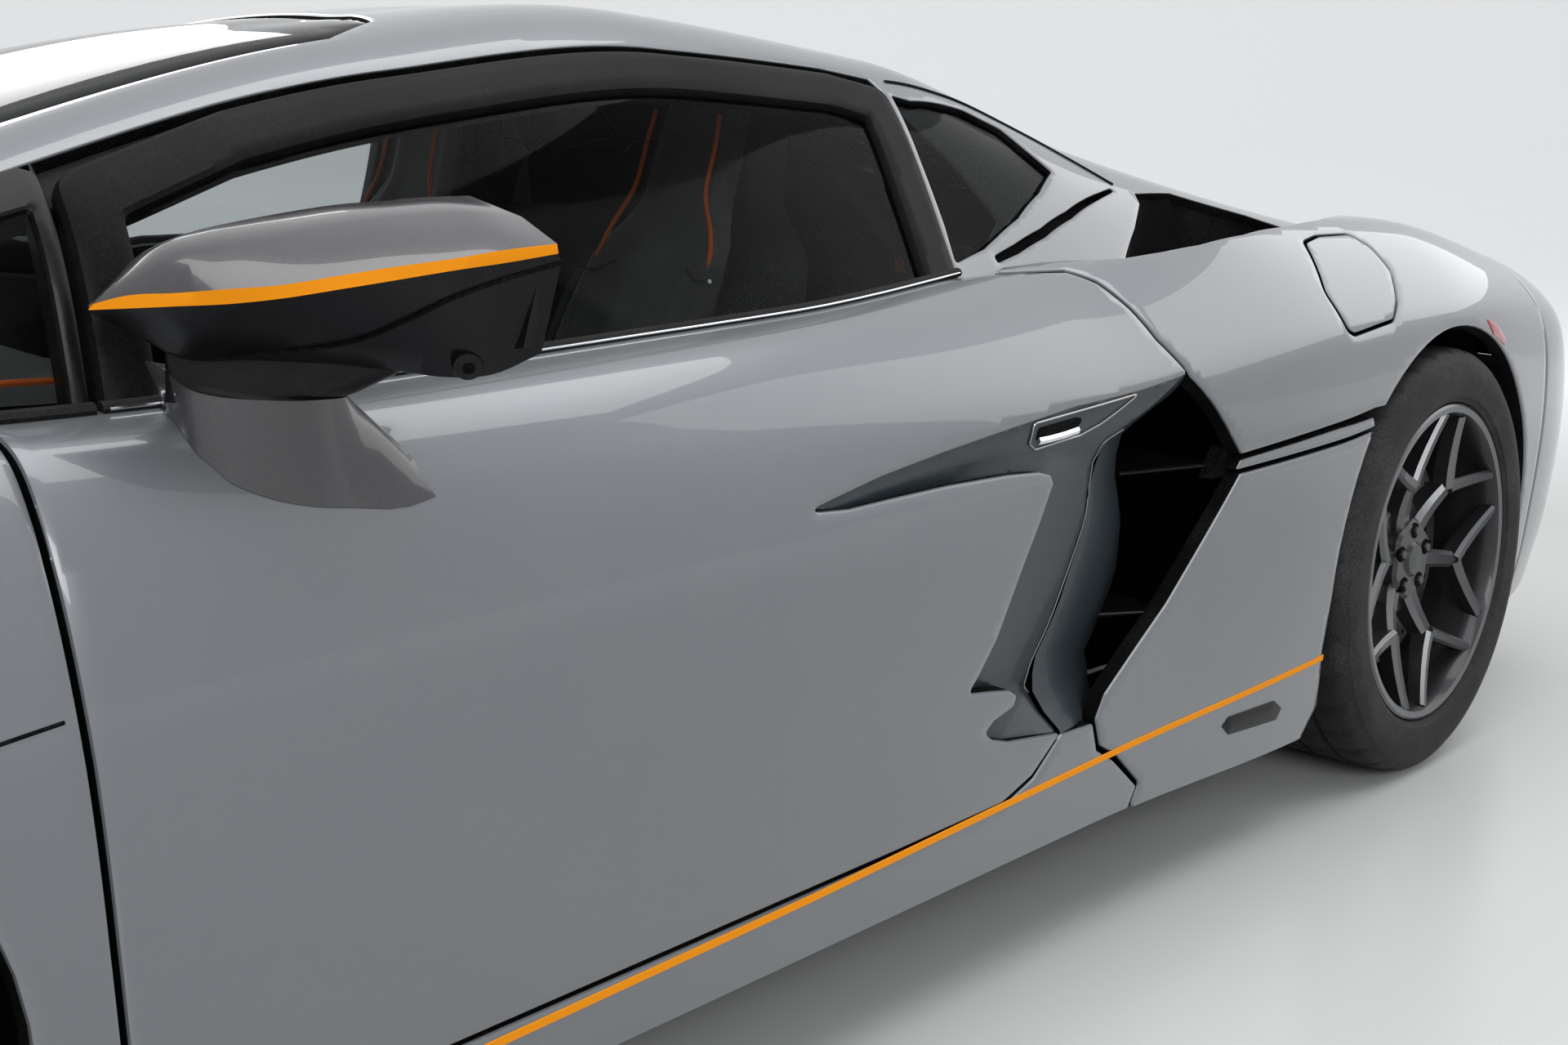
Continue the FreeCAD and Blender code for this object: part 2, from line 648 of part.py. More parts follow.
def build_sides(outer, skin, canopy, arches):
    """Write the fenders, the sills, the rear quarters and the fuel flap."""
    fender_outline = [(-829, 950)] + [(x - GAP, z) for x, z in DOOR_FRONT[1:]] + [(-799, 100)] + list(FENDER_FRONT)
    beside_hood = box(-2400, -700, HOOD[4][1] + GAP, 1100, 0, 1000)
    fender = skin.common(side_prism(fender_outline, 500, 1100)).common(beside_hood)
    write_pair("fender", largest(fender.cut(arches).cut(box(-1300, -700, 0, 1100, 0, 232)).cut(canopy)))
    write("side_sills", pair(largest(skin.common(side_prism(SILL, 860, 1100)).cut(arches))))
    quarter_outline = list(QUARTER_FRONT) + [(TAIL_SPLIT_X + 200, 100), (TAIL_SPLIT_X + 200, 960)]
    quarter = skin.common(leaning_prism(quarter_outline, 730, 1100)).cut(arches).cut(canopy)
    quarter = quarter.common(box(0, TAIL_SPLIT_X, 0, 1200, 0, 1200)).cut(box(0, 520, 700, 1100, 0, 250))
    quarter = largest(quarter.cut(box(1060, 1900, 860, 1100, 0, 210)))
    write("quarter_right", quarter)
    flap_hole = outer.cut(body_blank(FLAP_THICK + 8)).common(side_prism(FUEL_FLAP, 700, 1100))
    write("quarter_left", largest(mirrored(quarter.cut(flap_hole))))
    flap = outer.cut(body_blank(FLAP_THICK)).common(side_prism(FLAP_REGION, 700, 1100))
    write("fuel_flap", largest(mirrored(flap)))


def build_lids(outer, canopy):
    """Write the hood and the louvred engine cover."""
    hood = outer.cut(body_blank(LID_THICK)).common(plan_prism(HOOD, 300, 900))
    write("hood", largest(both(hood)))
    lid = canopy.cut(canopy_blank(LID_THICK)).common(plan_prism(ENGINE_LID, 800, WINDOW_TOP))
    for i in range(LOUVRES):
        x = LOUVRE_START_X + LOUVRE_PITCH * i
        lid = lid.cut(box(x, x + LOUVRE_LONG, 0, LOUVRE_HALF_WIDE, 700, WINDOW_TOP))
    write("engine_cover", largest(both(lid)))


def build_nose(outer, skin, arches):
    """Write the front bumper, the headlamps and the splitter under them."""
    nose_region = side_prism([(-2400, 50)] + list(BUMPER_REAR) + [(-2400, 950)], 0, 1100)
    bumper = skin.common(nose_region).cut(arches).cut(plan_prism(around_hood(), 300, 900))
    bumper = bumper.cut(plan_prism(HEADLAMP, 400, 900)).cut(end_prism(NOSE_INTAKE, -2400, -1900))
    write("front_bumper", largest(both(bumper)))
    write("headlamps", pair(largest(skin.common(plan_prism(HEADLAMP, 400, 900)))))
    body = outer.fuse(plan_prism(SPLITTER_RISER, 195, 240))
    riser = plan_prism(SPLITTER_RISER, 125, 230).cut(body)
    write("splitter", largest(both(plan_prism(SPLITTER_LIP, 112, 138).fuse(riser))))


def build_tail(skin):
    """Write the rear bumper, the lamps, the exhaust and the diffuser, and return the diffuser."""
    tail = skin.common(box(TAIL_SPLIT_X + 4, 2400, 0, 1100, 50, 950))
    tail = tail.cut(end_prism(TAIL_LAMP, 2200, 2400)).cut(end_prism(TAIL_OPENING, 2200, 2400))
    tail = tail.cut(box(1800, 2400, -1, 780, 100, 400)).cut(box(2348, 2400, -1, 160, 660, 800))
    tail = tail.cut(Part.makeCylinder(PLATE_HOLE_R, 100, vec(2280, 0.5 * PLATE_SPACING, PLATE_Z), vec(1, 0, 0)))
    write("rear_bumper", largest(both(tail)))
    write("tail_lamps", pair(largest(skin.common(end_prism(TAIL_LAMP, 2200, 2400)))))
    diffuser = side_prism(DIFFUSER_FLOOR, 0, 770)
    for y in DIFFUSER_FIN_Y:
        diffuser = diffuser.fuse(side_prism(DIFFUSER_FIN, y, y + DIFFUSER_FIN_THICK))
    diffuser = both(diffuser)
    write("diffuser", diffuser)
    muffler = side_prism(MUFFLER, 0, RAIL_Y + 60)
    pipe = end_prism(EXHAUST, 1880, 2345).cut(end_prism(EXHAUST_BORE, 1910, 2350))
    write("exhaust", both(muffler.fuse(pipe)))
    return diffuser


def build_cabin():
    """Write the seats, the steering wheel and the dashboard, and return the dashboard."""
    write_pair("seat", seat())
    cabin_dash = dashboard()
    write("dashboard", cabin_dash)
    write("steering_wheel", largest(steering_wheel().cut(cabin_dash)))
    return cabin_dash


def build_structure(inner, diffuser, around):
    """Write the tub, the frames, the luggage tray and the ducts, cut clear of the pieces around them."""
    halves = (
        ("tub", tub_half(inner)),
        ("front_frame", front_frame_half(inner)),
        ("rear_frame", rear_frame_half(inner, diffuser)),
        ("luggage_tray", luggage_tray_half()),
    )
    for name, half in halves:
        piece = both(half)
        for other in around:
            piece = piece.cut(other)
        write(name, largest(piece.removeSplitter()))
    roof_frame = around[0]
    write("intake_ducts", pair(largest(intake_duct(inner).cut(roof_frame))))
    write("engine", both(box(720, 1330, 0, 300, REAR_RAIL_Z + 40, 700)))


def build_all():
    """Build and write every piece."""
    outer = body_blank(0)
    inner = body_blank(SKIN)
    skin = outer.cut(inner)
    canopy = canopy_blank(0)
    pane_shell = canopy_blank(8).cut(canopy_blank(8 + GLASS))
    arches = wheel_arches()
    build_wheels()
    front_arms = subframe(FRONT_AXLE_X, FRONT_WHEEL_Y, FRONT_TYRE_R, FRONT_RAIL_Z, 150.0, STEER_CLEAR_R + STEER_GAP)
    rear_arms = subframe(REAR_AXLE_X, REAR_WHEEL_Y, REAR_TYRE_R, REAR_RAIL_Z, 170.0, STEER_CLEAR_R)
    write("subframe_front", front_arms)
    write("subframe_rear", rear_arms)
    build_doors(outer, canopy, pane_shell)
    roof_frame = build_cabin_shell(canopy, pane_shell, arches)
    build_sides(outer, skin, canopy, arches)
    build_lids(outer, canopy)
    build_nose(outer, skin, arches)
    diffuser = build_tail(skin)
    cabin_dash = build_cabin()
    build_structure(inner, diffuser, (roof_frame, front_arms, rear_arms, cabin_dash))


if __name__ == "__main__":
    os.makedirs("parts", exist_ok=True)
    build_all()
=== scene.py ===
import logging
import math
from dataclasses import dataclass
from enum import Enum
from typing import Callable, Optional, Sequence

import bmesh
import bpy
import numpy as np
from mathutils import Matrix, Vector
from mathutils.geometry import delaunay_2d_cdt


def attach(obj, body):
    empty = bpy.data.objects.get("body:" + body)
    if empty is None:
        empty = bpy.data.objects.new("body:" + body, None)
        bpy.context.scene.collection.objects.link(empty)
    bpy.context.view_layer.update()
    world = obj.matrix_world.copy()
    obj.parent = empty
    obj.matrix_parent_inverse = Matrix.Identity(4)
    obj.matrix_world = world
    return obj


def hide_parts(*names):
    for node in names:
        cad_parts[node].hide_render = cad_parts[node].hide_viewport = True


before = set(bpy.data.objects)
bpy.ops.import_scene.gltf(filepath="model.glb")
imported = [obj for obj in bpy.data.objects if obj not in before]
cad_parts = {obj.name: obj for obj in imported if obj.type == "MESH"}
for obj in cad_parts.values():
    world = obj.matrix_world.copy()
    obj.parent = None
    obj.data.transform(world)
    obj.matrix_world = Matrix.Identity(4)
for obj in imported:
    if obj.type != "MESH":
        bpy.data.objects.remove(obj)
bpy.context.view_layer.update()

# Mid-engined two-seat sports car, in metres. The tables of sections and outlines are in millimetres.
# +X runs to the rear, +Y to the car's right, +Z up, and the origin is on the ground under the middle.

LOG = logging.getLogger("car")
MM = 0.001
Outline = list[tuple[float, float]]
Color = tuple[float, float, float]

HALF_LENGTH = 2.353
NOSE_PLAN_R = 1.5
TAIL_PLAN_R = 3.0
OPENING_CORNER = 6.0
PLAIN_FLANGE = 22.0
SMOOTH_ANGLE = 32.0
CRISP_ANGLE = 30.0
WHEEL_ANGLE = 36.0
SEAT_ANGLE = 40.0
COAT_ROUGHNESS = 0.02
FRONT_AXLE = (-1.243, 0.861, 0.343)
REAR_AXLE = (1.415, 0.835, 0.364)

# Lower body, right half. Columns: x, then y and z of the floor, sill, waist, shoulder, crest and middle
# lines, and z of the centre line
BODY_ROWS = (
    (-2353, 620, 190, 650, 300, 650, 390, 620, 440, 520, 478, 300, 496, 500),
    (-2150, 790, 150, 835, 300, 835, 430, 800, 530, 700, 585, 400, 612, 620),
    (-1800, 905, 140, 945, 300, 950, 470, 925, 610, 805, 690, 450, 705, 712),
    (-1243, 930, 150, 975, 300, 988, 560, 962, 725, 850, 800, 450, 790, 785),
    (-824, 945, 157, 962, 300, 972, 560, 935, 725, 850, 786, 450, 800, 805),
    (-150, 950, 157, 958, 300, 968, 580, 935, 735, 845, 815, 450, 830, 835),
    (450, 951, 157, 960, 300, 966, 580, 950, 740, 800, 866, 450, 880, 885),
    (1000, 965, 145, 985, 300, 994, 600, 972, 790, 815, 940, 450, 915, 912),
    (1415, 960, 150, 990, 300, 998, 640, 978, 800, 832, 936, 450, 912, 910),
    (1900, 930, 200, 955, 340, 972, 620, 940, 780, 810, 876, 450, 880, 882),
    (2353, 850, 280, 880, 400, 890, 600, 860, 740, 740, 800, 450, 830, 835),
)
BODY_SPANS = (145, 280, 170, 190, 360, 450)

# Cabin and engine deck, right half. Columns: x, sunk base y z, rail y z, middle y z, centre z
CANOPY_ROWS = (
    (-1270, 780, 725, 775, 797, 420, 800, 803),
    (-1000, 845, 720, 800, 865, 470, 918, 935),
    (-760, 862, 705, 765, 968, 460, 1032, 1050),
    (-400, 862, 715, 690, 1070, 430, 1132, 1152),
    (0, 858, 745, 628, 1128, 400, 1183, 1201),
    (430, 812, 790, 600, 1116, 380, 1162, 1178),
    (800, 800, 840, 640, 1025, 380, 1085, 1100),
    (1200, 790, 845, 670, 960, 400, 990, 1000),
    (1750, 760, 800, 680, 893, 400, 905, 910),
)
CANOPY_SPANS = (400, 260, 420)

# Outlines seen from the side, in x and z
DOOR_FRONT = ((-796, 232), (-800, 300), (-806, 420), (-812, 560), (-819, 700), (-824, 784))
SIDE_GAP = ((-1090, 822), (-960, 872), (-790, 955), (-582, 1024), (-372, 1071), (0, 1120), (287, 1121),
            (432, 1106))
DOOR_FRAME = (
    (-738, 700), (-738, 960), (-582, 1018), (-372, 1065), (0, 1114), (287, 1114), (392, 1100), (358, 700),
)
DOOR_PANE = (
    (-690, 760), (-690, 930), (-576, 975), (-368, 1022), (0, 1070), (260, 1068), (320, 1058), (296, 860),
    (240, 780), (-170, 760),
)
FRONT_PANE = ((-1010, 760), (-760, 760), (-760, 936), (-800, 924), (-950, 862), (-1050, 815))

# Outlines in the lower skin's own x and v, where v runs up from the floor edge
DOOR_TOP = (
    (-822, 827), (-600, 827), (-300, 827), (0, 827), (250, 822), (416, 796), (469, 777), (526, 758),
    (552, 726), (568, 678), (578, 633), (608, 583),
)
HOLLOW_UPPER = ((605, 578), (500, 571), (364, 562), (238, 545), (123, 529), (13, 512), (-102, 489))
HOLLOW_LOWER = (
    (-39, 485), (34, 488), (123, 491), (228, 491), (285, 488), (309, 482), (315, 470), (291, 428), (264, 387),
    (243, 352), (212, 297), (181, 259), (165, 243),
)
HOLLOW_FOOT = (
    (207, 237), (243, 231), (260, 221), (254, 208), (217, 198), (202, 187), (217, 176), (249, 166),
    (317, 157), (348, 153),
)
HOLLOW_REAR = (
    (353, 156), (342, 176), (338, 198), (334, 205), (338, 222), (347, 241), (381, 283), (412, 341),
    (444, 403), (452, 457), (457, 485), (461, 504), (492, 519), (523, 534), (565, 557), (602, 576),
)
DOOR_FOOT = ((353, 150), (301, 109), (243, 88), (55, 84))
CHEEK_V = (110, 155, 176, 201, 222, 243, 283, 307, 341, 374, 403, 441, 470, 502, 519, 557, 580)
CHEEK_LEAD = (385, 353, 342, 334, 338, 347, 381, 396, 412, 430, 444, 450, 454, 461, 492, 565, 606)
CHEEK_DEEP = (0, 2, 18, 32, 37, 40, 42, 42, 42, 42, 42, 42, 39, 33, 27, 10, 2)
CHEEK_BACK = (560, 545, 540, 531, 545, 557, 580, 589, 592, 594, 588, 578, 578, 584, 600, 672, 700)
FUEL_FLAP = (
    (1060, 710), (1118, 722), (1217, 726), (1243, 700), (1248, 658), (1212, 611), (1175, 582), (1044, 572),
    (1029, 579), (1013, 633),
)
TROUGH_EDGE = ((652, 751), (720, 742), (804, 735), (919, 735), (1060, 748), (1196, 772), (1330, 815),
               (1440, 860))

# Outlines in the upper skin's own x and v
QUARTER_PANE = (
    (404, 362), (440, 356), (560, 380), (628, 372), (652, 331), (682, 288), (622, 221), (548, 165),
    (484, 135), (448, 120), (376, 106), (384, 155), (390, 245),
)
BUTTRESS_LINE = (
    (462, 108), (514, 122), (585, 147), (662, 188), (750, 250), (818, 296), (822, 288), (756, 238),
    (668, 174), (588, 132), (516, 108), (464, 98),
)
DARK_PANE = ((414, 350), (438, 300), (478, 240), (512, 164), (468, 128), (560, 160), (634, 221), (694, 288),
             (664, 331), (634, 374), (560, 388), (440, 364))
DECK_SIDE = ((752, 60), (752, 82), (816, 169), (872, 262), (880, 300), (1004, 356), (1209, 330), (1377, 270),
             (1500, 200))

# Outlines seen from above, in x and y
WINDSCREEN = (
    (-1240, 0), (-1234, 250), (-1200, 480), (-1120, 680), (-1000, 738), (-760, 700), (-420, 640), (-340, 585),
    (-312, 500), (-300, 250), (-298, 0),
)
HOOD = (
    (-2060, 0), (-2040, 360), (-1910, 620), (-1720, 700), (-1243, 708), (-1160, 700), (-1215, 520),
    (-1250, 300), (-1262, 0),
)
ENGINE_LID = ((660, 0), (660, 330), (730, 470), (1200, 510), (1690, 550), (1700, 0))
HEADLAMP = ((-2200, 640), (-2105, 700), (-1930, 800), (-1850, 790), (-1930, 730), (-2080, 640), (-2170, 570))


class Body(str, Enum):
    """The moving bodies of the frame that pieces ride on."""

    CHASSIS = "chassis"
    HOOD = "hood"
    ENGINE_COVER = "engine_cover"
    FUEL_FLAP = "fuel_flap"
    DOOR = "door"
    UPRIGHT = "upright"
    WHEEL_FRONT = "wheel_front"
    WHEEL_REAR = "wheel_rear"


class View(Enum):
    """The view in which an outline is drawn before it goes onto a skin."""

    SIDE = "side"
    PLAN = "plan"


SIDES = (("left", -1.0), ("right", 1.0))
SIDED = (Body.DOOR, Body.UPRIGHT, Body.WHEEL_FRONT, Body.WHEEL_REAR)


def body_name(body: Body, side: str) -> str:
    """Return the frame's name of a body on one side of the car."""
    return f"{body.value}_{side}" if body in SIDED else body.value


@dataclass
class Loft:
    """A skin through a table of half sections, smooth along the car and across it.

    Args:
        rows: Sections, each with its x, its y and z pairs from the bottom up, and its z at the centre.
        spans: Nominal widths between the columns, which measure v across the skin.
        rounded: Whether the nose and the tail are rounded in plan.
    """

    rows: Sequence[Sequence[float]]
    spans: Sequence[float]
    rounded: bool

    def __post_init__(self) -> None:
        """Work out the knots and their slopes along the car."""
        table = np.array(self.rows, float)
        self.xs = table[:, 0]
        pairs = table[:, 1:-1].reshape(len(table), -1, 2)
        centre = np.stack([np.zeros(len(table)), table[:, -1]], axis=1)[:, None, :]
        self.knots = np.concatenate([pairs, centre], axis=1)
        self.vs = np.concatenate([[0.0], np.cumsum(self.spans)])
        step = np.diff(self.xs)[:, None, None]
        rise = np.diff(self.knots, axis=0) / step
        slopes = np.zeros_like(self.knots)
        inner = rise[:-1] * rise[1:]
        mean = (2 * inner) / np.where(np.abs(rise[:-1] + rise[1:]) < 1e-9, 1.0, rise[:-1] + rise[1:])
        slopes[1:-1] = np.where(inner > 0, mean, 0.0)
        slopes[0], slopes[-1] = rise[0], rise[-1]
        self.slopes = slopes

    def section(self, x: np.ndarray) -> np.ndarray:
        """Return the section's knots at each x.

        Args:
            x: Places along the car, in millimetres.

        Returns:
            An array of places by columns by y and z.
        """
        x = np.clip(x, self.xs[0], self.xs[-1])
        i = np.clip(np.searchsorted(self.xs, x, side="right") - 1, 0, len(self.xs) - 2)
        width = self.xs[i + 1] - self.xs[i]
        t = ((x - self.xs[i]) / width)[:, None, None]
        width = width[:, None, None]
        h = (2 * t**3 - 3 * t**2 + 1, t**3 - 2 * t**2 + t, -2 * t**3 + 3 * t**2, t**3 - t**2)
        return (
            h[0] * self.knots[i]
            + h[1] * width * self.slopes[i]
            + h[2] * self.knots[i + 1]
            + h[3] * width * self.slopes[i + 1]
        )

    def across(self, knots: np.ndarray, v: np.ndarray) -> np.ndarray:
        """Return the y and z of each section at v, on a curve through its knots.

        Args:
            knots: Sections, places by columns by y and z.
            v: One distance for each section, or a row of them.

        Returns:
            The points, places by y and z, or places by distances by y and z.
        """
        grid = v if v.ndim == 2 else v[:, None]
        grid = np.clip(grid, 0.0, self.vs[-1])
        ghost = knots[:, -2:-1] * np.array([-1.0, 1.0])
        low = 2 * knots[:, :1] - knots[:, 1:2]
        full = np.concatenate([low, knots, ghost], axis=1)
        ends = np.concatenate([[-self.spans[0]], self.vs, [self.vs[-1] + self.spans[-1]]])
        slope = (full[:, 2:] - full[:, :-2]) / (ends[2:] - ends[:-2])[None, :, None]
        j = np.clip(np.searchsorted(self.vs, grid, side="right") - 1, 0, len(self.vs) - 2)
        width = self.vs[j + 1] - self.vs[j]
        t = ((grid - self.vs[j]) / width)[..., None]
        width = width[..., None]
        row = np.arange(len(knots))[:, None]
        out = (
            (2 * t**3 - 3 * t**2 + 1) * knots[row, j]
            + (t**3 - 2 * t**2 + t) * width * slope[row, j]
            + (-2 * t**3 + 3 * t**2) * knots[row, j + 1]
            + (t**3 - t**2) * width * slope[row, j + 1]
        )
        return out if v.ndim == 2 else out[:, 0]

    def points(self, x: np.ndarray, v: np.ndarray) -> np.ndarray:
        """Return the skin's points on the right side, in millimetres.

        Args:
            x: Places along the car.
            v: Distances across the skin.

        Returns:
            An array of points by x, y and z.
        """
        past = v > self.vs[-1]
        yz = self.across(self.section(x), np.where(past, 2 * self.vs[-1] - v, v))
        yz[past, 0] *= -1
        out = np.column_stack([x, yz])
        if self.rounded:
            front = np.clip((-1800 - x) / (HALF_LENGTH * 1000 - 1800), 0, 1) ** 2
            rear = np.clip((x - 1900) / (HALF_LENGTH * 1000 - 1900), 0, 1) ** 2
            out[:, 0] += front * self.plan_shift(out[:, 1], NOSE_PLAN_R * 1000)
            out[:, 0] -= rear * self.plan_shift(out[:, 1], TAIL_PLAN_R * 1000)
        return out

    def plan_shift(self, y: np.ndarray, radius: float) -> np.ndarray:
        """Return how far a round end of that radius falls back at y."""
        return radius - np.sqrt(radius**2 - np.minimum(np.abs(y), radius * 0.9) ** 2)

    def normals(self, x: np.ndarray, v: np.ndarray) -> np.ndarray:
        """Return the outward unit normals at the skin's points.

        Args:
            x: Places along the car.
            v: Distances across the skin.

        Returns:
            A unit vector for each place.
        """
        step = 4.0
        along = self.points(x + step, v) - self.points(x - step, v)
        over = self.points(x, v + step) - self.points(x, np.maximum(v - step, 0))
        normal = np.cross(over, along)
        normal /= np.linalg.norm(normal, axis=1)[:, None] + 1e-12
        return normal

    def locate(self, view: View, a: np.ndarray, b: np.ndarray) -> np.ndarray:
        """Return the v at which the skin passes a side or a plan point.

        Args:
            view: SIDE takes b as z, and PLAN takes b as y.
            a: Places along the car.
            b: Heights or widths.

        Returns:
            The distances across the skin.
        """
        crest = len(self.vs) - 3
        count = 161
        if view is View.SIDE:
            top = self.vs[crest] if self.rounded else self.vs[-1]
            line = np.linspace(0.0, top, count)
        else:
            line = np.linspace(self.vs[crest], self.vs[-1], count)
        curves = self.across(self.section(a), np.tile(line, (len(a), 1)))
        out = np.empty(len(a))
        for k, curve in enumerate(curves):
            if view is View.SIDE:
                out[k] = np.interp(b[k], np.maximum.accumulate(curve[:, 1]), line)
            else:
                out[k] = np.interp(-abs(b[k]), -curve[:, 0], line)
        return out


BODY = Loft(BODY_ROWS, BODY_SPANS, True)
CANOPY = Loft(CANOPY_ROWS, CANOPY_SPANS, False)


@dataclass
class EndFace:
    """The round face that closes the nose or the tail, drawn in y and z.

    Args:
        tip: Its x on the centre line.
        radius: The radius of its plan.
    """

    tip: float
    radius: float

    def points(self, y: np.ndarray, z: np.ndarray) -> np.ndarray:
        """Return points on the face from y and z."""
        back = self.radius - np.sqrt(self.radius**2 - y**2)
        return np.column_stack([self.tip - np.sign(self.tip) * back, y, z])

    def normals(self, y: np.ndarray, z: np.ndarray) -> np.ndarray:
        """Return the outward unit normals at points of the face.

        Args:
            y: Places across the car.
            z: Heights, not used.

        Returns:
            A unit vector for each place.
        """
        sign = np.sign(self.tip)
        deep = np.sqrt(self.radius**2 - y**2)
        return np.column_stack([sign * deep, y, np.zeros(len(y))]) / self.radius

    def whole(self, row: Sequence[float]) -> np.ndarray:
        """Return the outline of the whole face from a section of the body."""
        half = [(row[i], row[i + 1]) for i in range(1, len(row) - 1, 2)]
        return np.array(half + [(-y, z) for y, z in half][::-1], float)

    def box_rows(self, y0: float, y1: float, z: float, thick: float, deep: float) -> np.ndarray:
        """Return the rows of a bar that follows the face between two places.

        Args:
            y0: Where the bar starts across the car.
            y1: Where it ends.
            z: Its height.
            thick: Its thickness.
            deep: Its depth behind the face.

        Returns:
            The rows of its grid.
        """
        y = np.linspace(y0, y1, 9)
        front = self.points(y, np.full(9, z))
        inward = -self.normals(y, y)
        rows = [front + inward * d + np.array([0, 0, dz])
                for d, dz in ((12, -thick / 2), (12, thick / 2), (12 + deep, thick / 2),
                              (12 + deep, -thick / 2))]
        return np.stack(rows, axis=1)


def rounded_outline(outline: Sequence[Sequence[float]], radius: float, step: float) -> np.ndarray:
    """Return a closed outline with round corners and evenly spaced points.

    Args:
        outline: The corners in order.
        radius: The radius of the corners, where the sides are long enough for it.
        step: The longest distance between points.

    Returns:
        The points, one row each.
    """
    corners = np.array(outline, float)
    points: list[np.ndarray] = []
    count = len(corners)
    for i in range(count):
        here, before, after = corners[i], corners[i - 1], corners[(i + 1) % count]
        one, two = before - here, after - here
        long_one, long_two = np.linalg.norm(one), np.linalg.norm(two)
        cosine = float(np.clip(one @ two / (long_one * long_two), -1, 1))
        half = math.acos(cosine) / 2
        cut = min(radius / max(math.tan(half), 1e-3), 0.45 * long_one, 0.45 * long_two)
        start, end = here + one / long_one * cut, here + two / long_two * cut
        turn = math.pi - 2 * half
        parts = max(1, min(8, round(turn / 0.2)))
        for k in range(parts + 1):
            t = k / parts
            points.append((1 - t) ** 2 * start + 2 * t * (1 - t) * here + t**2 * end)
    out: list[np.ndarray] = []
    for i, point in enumerate(points):
        after = points[(i + 1) % len(points)]
        gap = float(np.linalg.norm(after - point))
        if gap < 0.4:
            continue
        parts = max(1, math.ceil(gap / step))
        out.extend(point + (after - point) * k / parts for k in range(parts))
    return np.array(out)


def inset_outline(points: np.ndarray, distance: float) -> np.ndarray:
    """Return an outline moved inwards by the distance.

    Args:
        points: The closed outline.
        distance: How far it moves inwards.

    Returns:
        The moved outline.
    """
    area = np.sum(points[:, 0] * np.roll(points[:, 1], -1) - np.roll(points[:, 0], -1) * points[:, 1])
    along = np.roll(points, -1, axis=0) - np.roll(points, 1, axis=0)
    along /= np.linalg.norm(along, axis=1)[:, None] + 1e-12
    inward = np.column_stack([-along[:, 1], along[:, 0]]) * (1 if area > 0 else -1)
    return points + inward * distance


def inside(points: np.ndarray, outline: np.ndarray) -> np.ndarray:
    """Return which points lie inside an outline.

    Args:
        points: The points to test.
        outline: The closed outline.

    Returns:
        A true or false for each point.
    """
    x, y = points[:, 0], points[:, 1]
    result = np.zeros(len(points), bool)
    before = outline[-1]
    for here in outline:
        crosses = (here[1] > y) != (before[1] > y)
        slope = (before[0] - here[0]) / (before[1] - here[1] if before[1] != here[1] else 1e-12)
        result ^= crosses & (x < slope * (y - here[1]) + here[0])
        before = here
    return result


def edge_distance(points: np.ndarray, outline: np.ndarray) -> np.ndarray:
    """Return the distance of each point from an outline.

    Args:
        points: The points to measure from.
        outline: The closed outline.

    Returns:
        The distance of each point.
    """
    best = np.full(len(points), np.inf)
    for one, two in zip(outline, np.roll(outline, -1, axis=0)):
        along = two - one
        t = np.clip(((points - one) @ along) / (along @ along + 1e-12), 0, 1)
        best = np.minimum(best, np.linalg.norm(points - one - t[:, None] * along, axis=1))
    return best


@dataclass
class MeshData:
    """A mesh before it becomes a piece.

    Args:
        points: Its points in metres.
        faces: Its faces, as rows of points.
        slots: The finish slot of each face.
    """

    points: np.ndarray
    faces: list[tuple[int, ...]]
    slots: list[int]

    def mirrored(self) -> "MeshData":
        """Return the same mesh on the other side of the car."""
        return MeshData(self.points * np.array([1.0, -1.0, 1.0]), [f[::-1] for f in self.faces], self.slots)

    def joined(self, other: "MeshData") -> "MeshData":
        """Return this mesh and another as one.

        Args:
            other: The mesh to add.

        Returns:
            Both as one mesh.
        """
        shift = len(self.points)
        faces = self.faces + [tuple(i + shift for i in face) for face in other.faces]
        return MeshData(np.concatenate([self.points, other.points]), faces, self.slots + other.slots)

    def moved(self, step: np.ndarray, slot: Optional[int] = None) -> "MeshData":
        """Return the mesh moved by a step in metres, in one slot where that is given."""
        slots = self.slots if slot is None else [slot] * len(self.faces)
        return MeshData(self.points + step, self.faces, slots)

    def both(self) -> "MeshData":
        """Return this mesh and its mirror image as one."""
        return self.joined(self.mirrored())

    def for_side(self, sign: float) -> "MeshData":
        """Return the mesh on the right side for a positive sign, else on the left."""
        return self if sign > 0 else self.mirrored()


def no_relief(points: np.ndarray) -> np.ndarray:
    """Return no depth at any point."""
    return np.zeros(len(points))


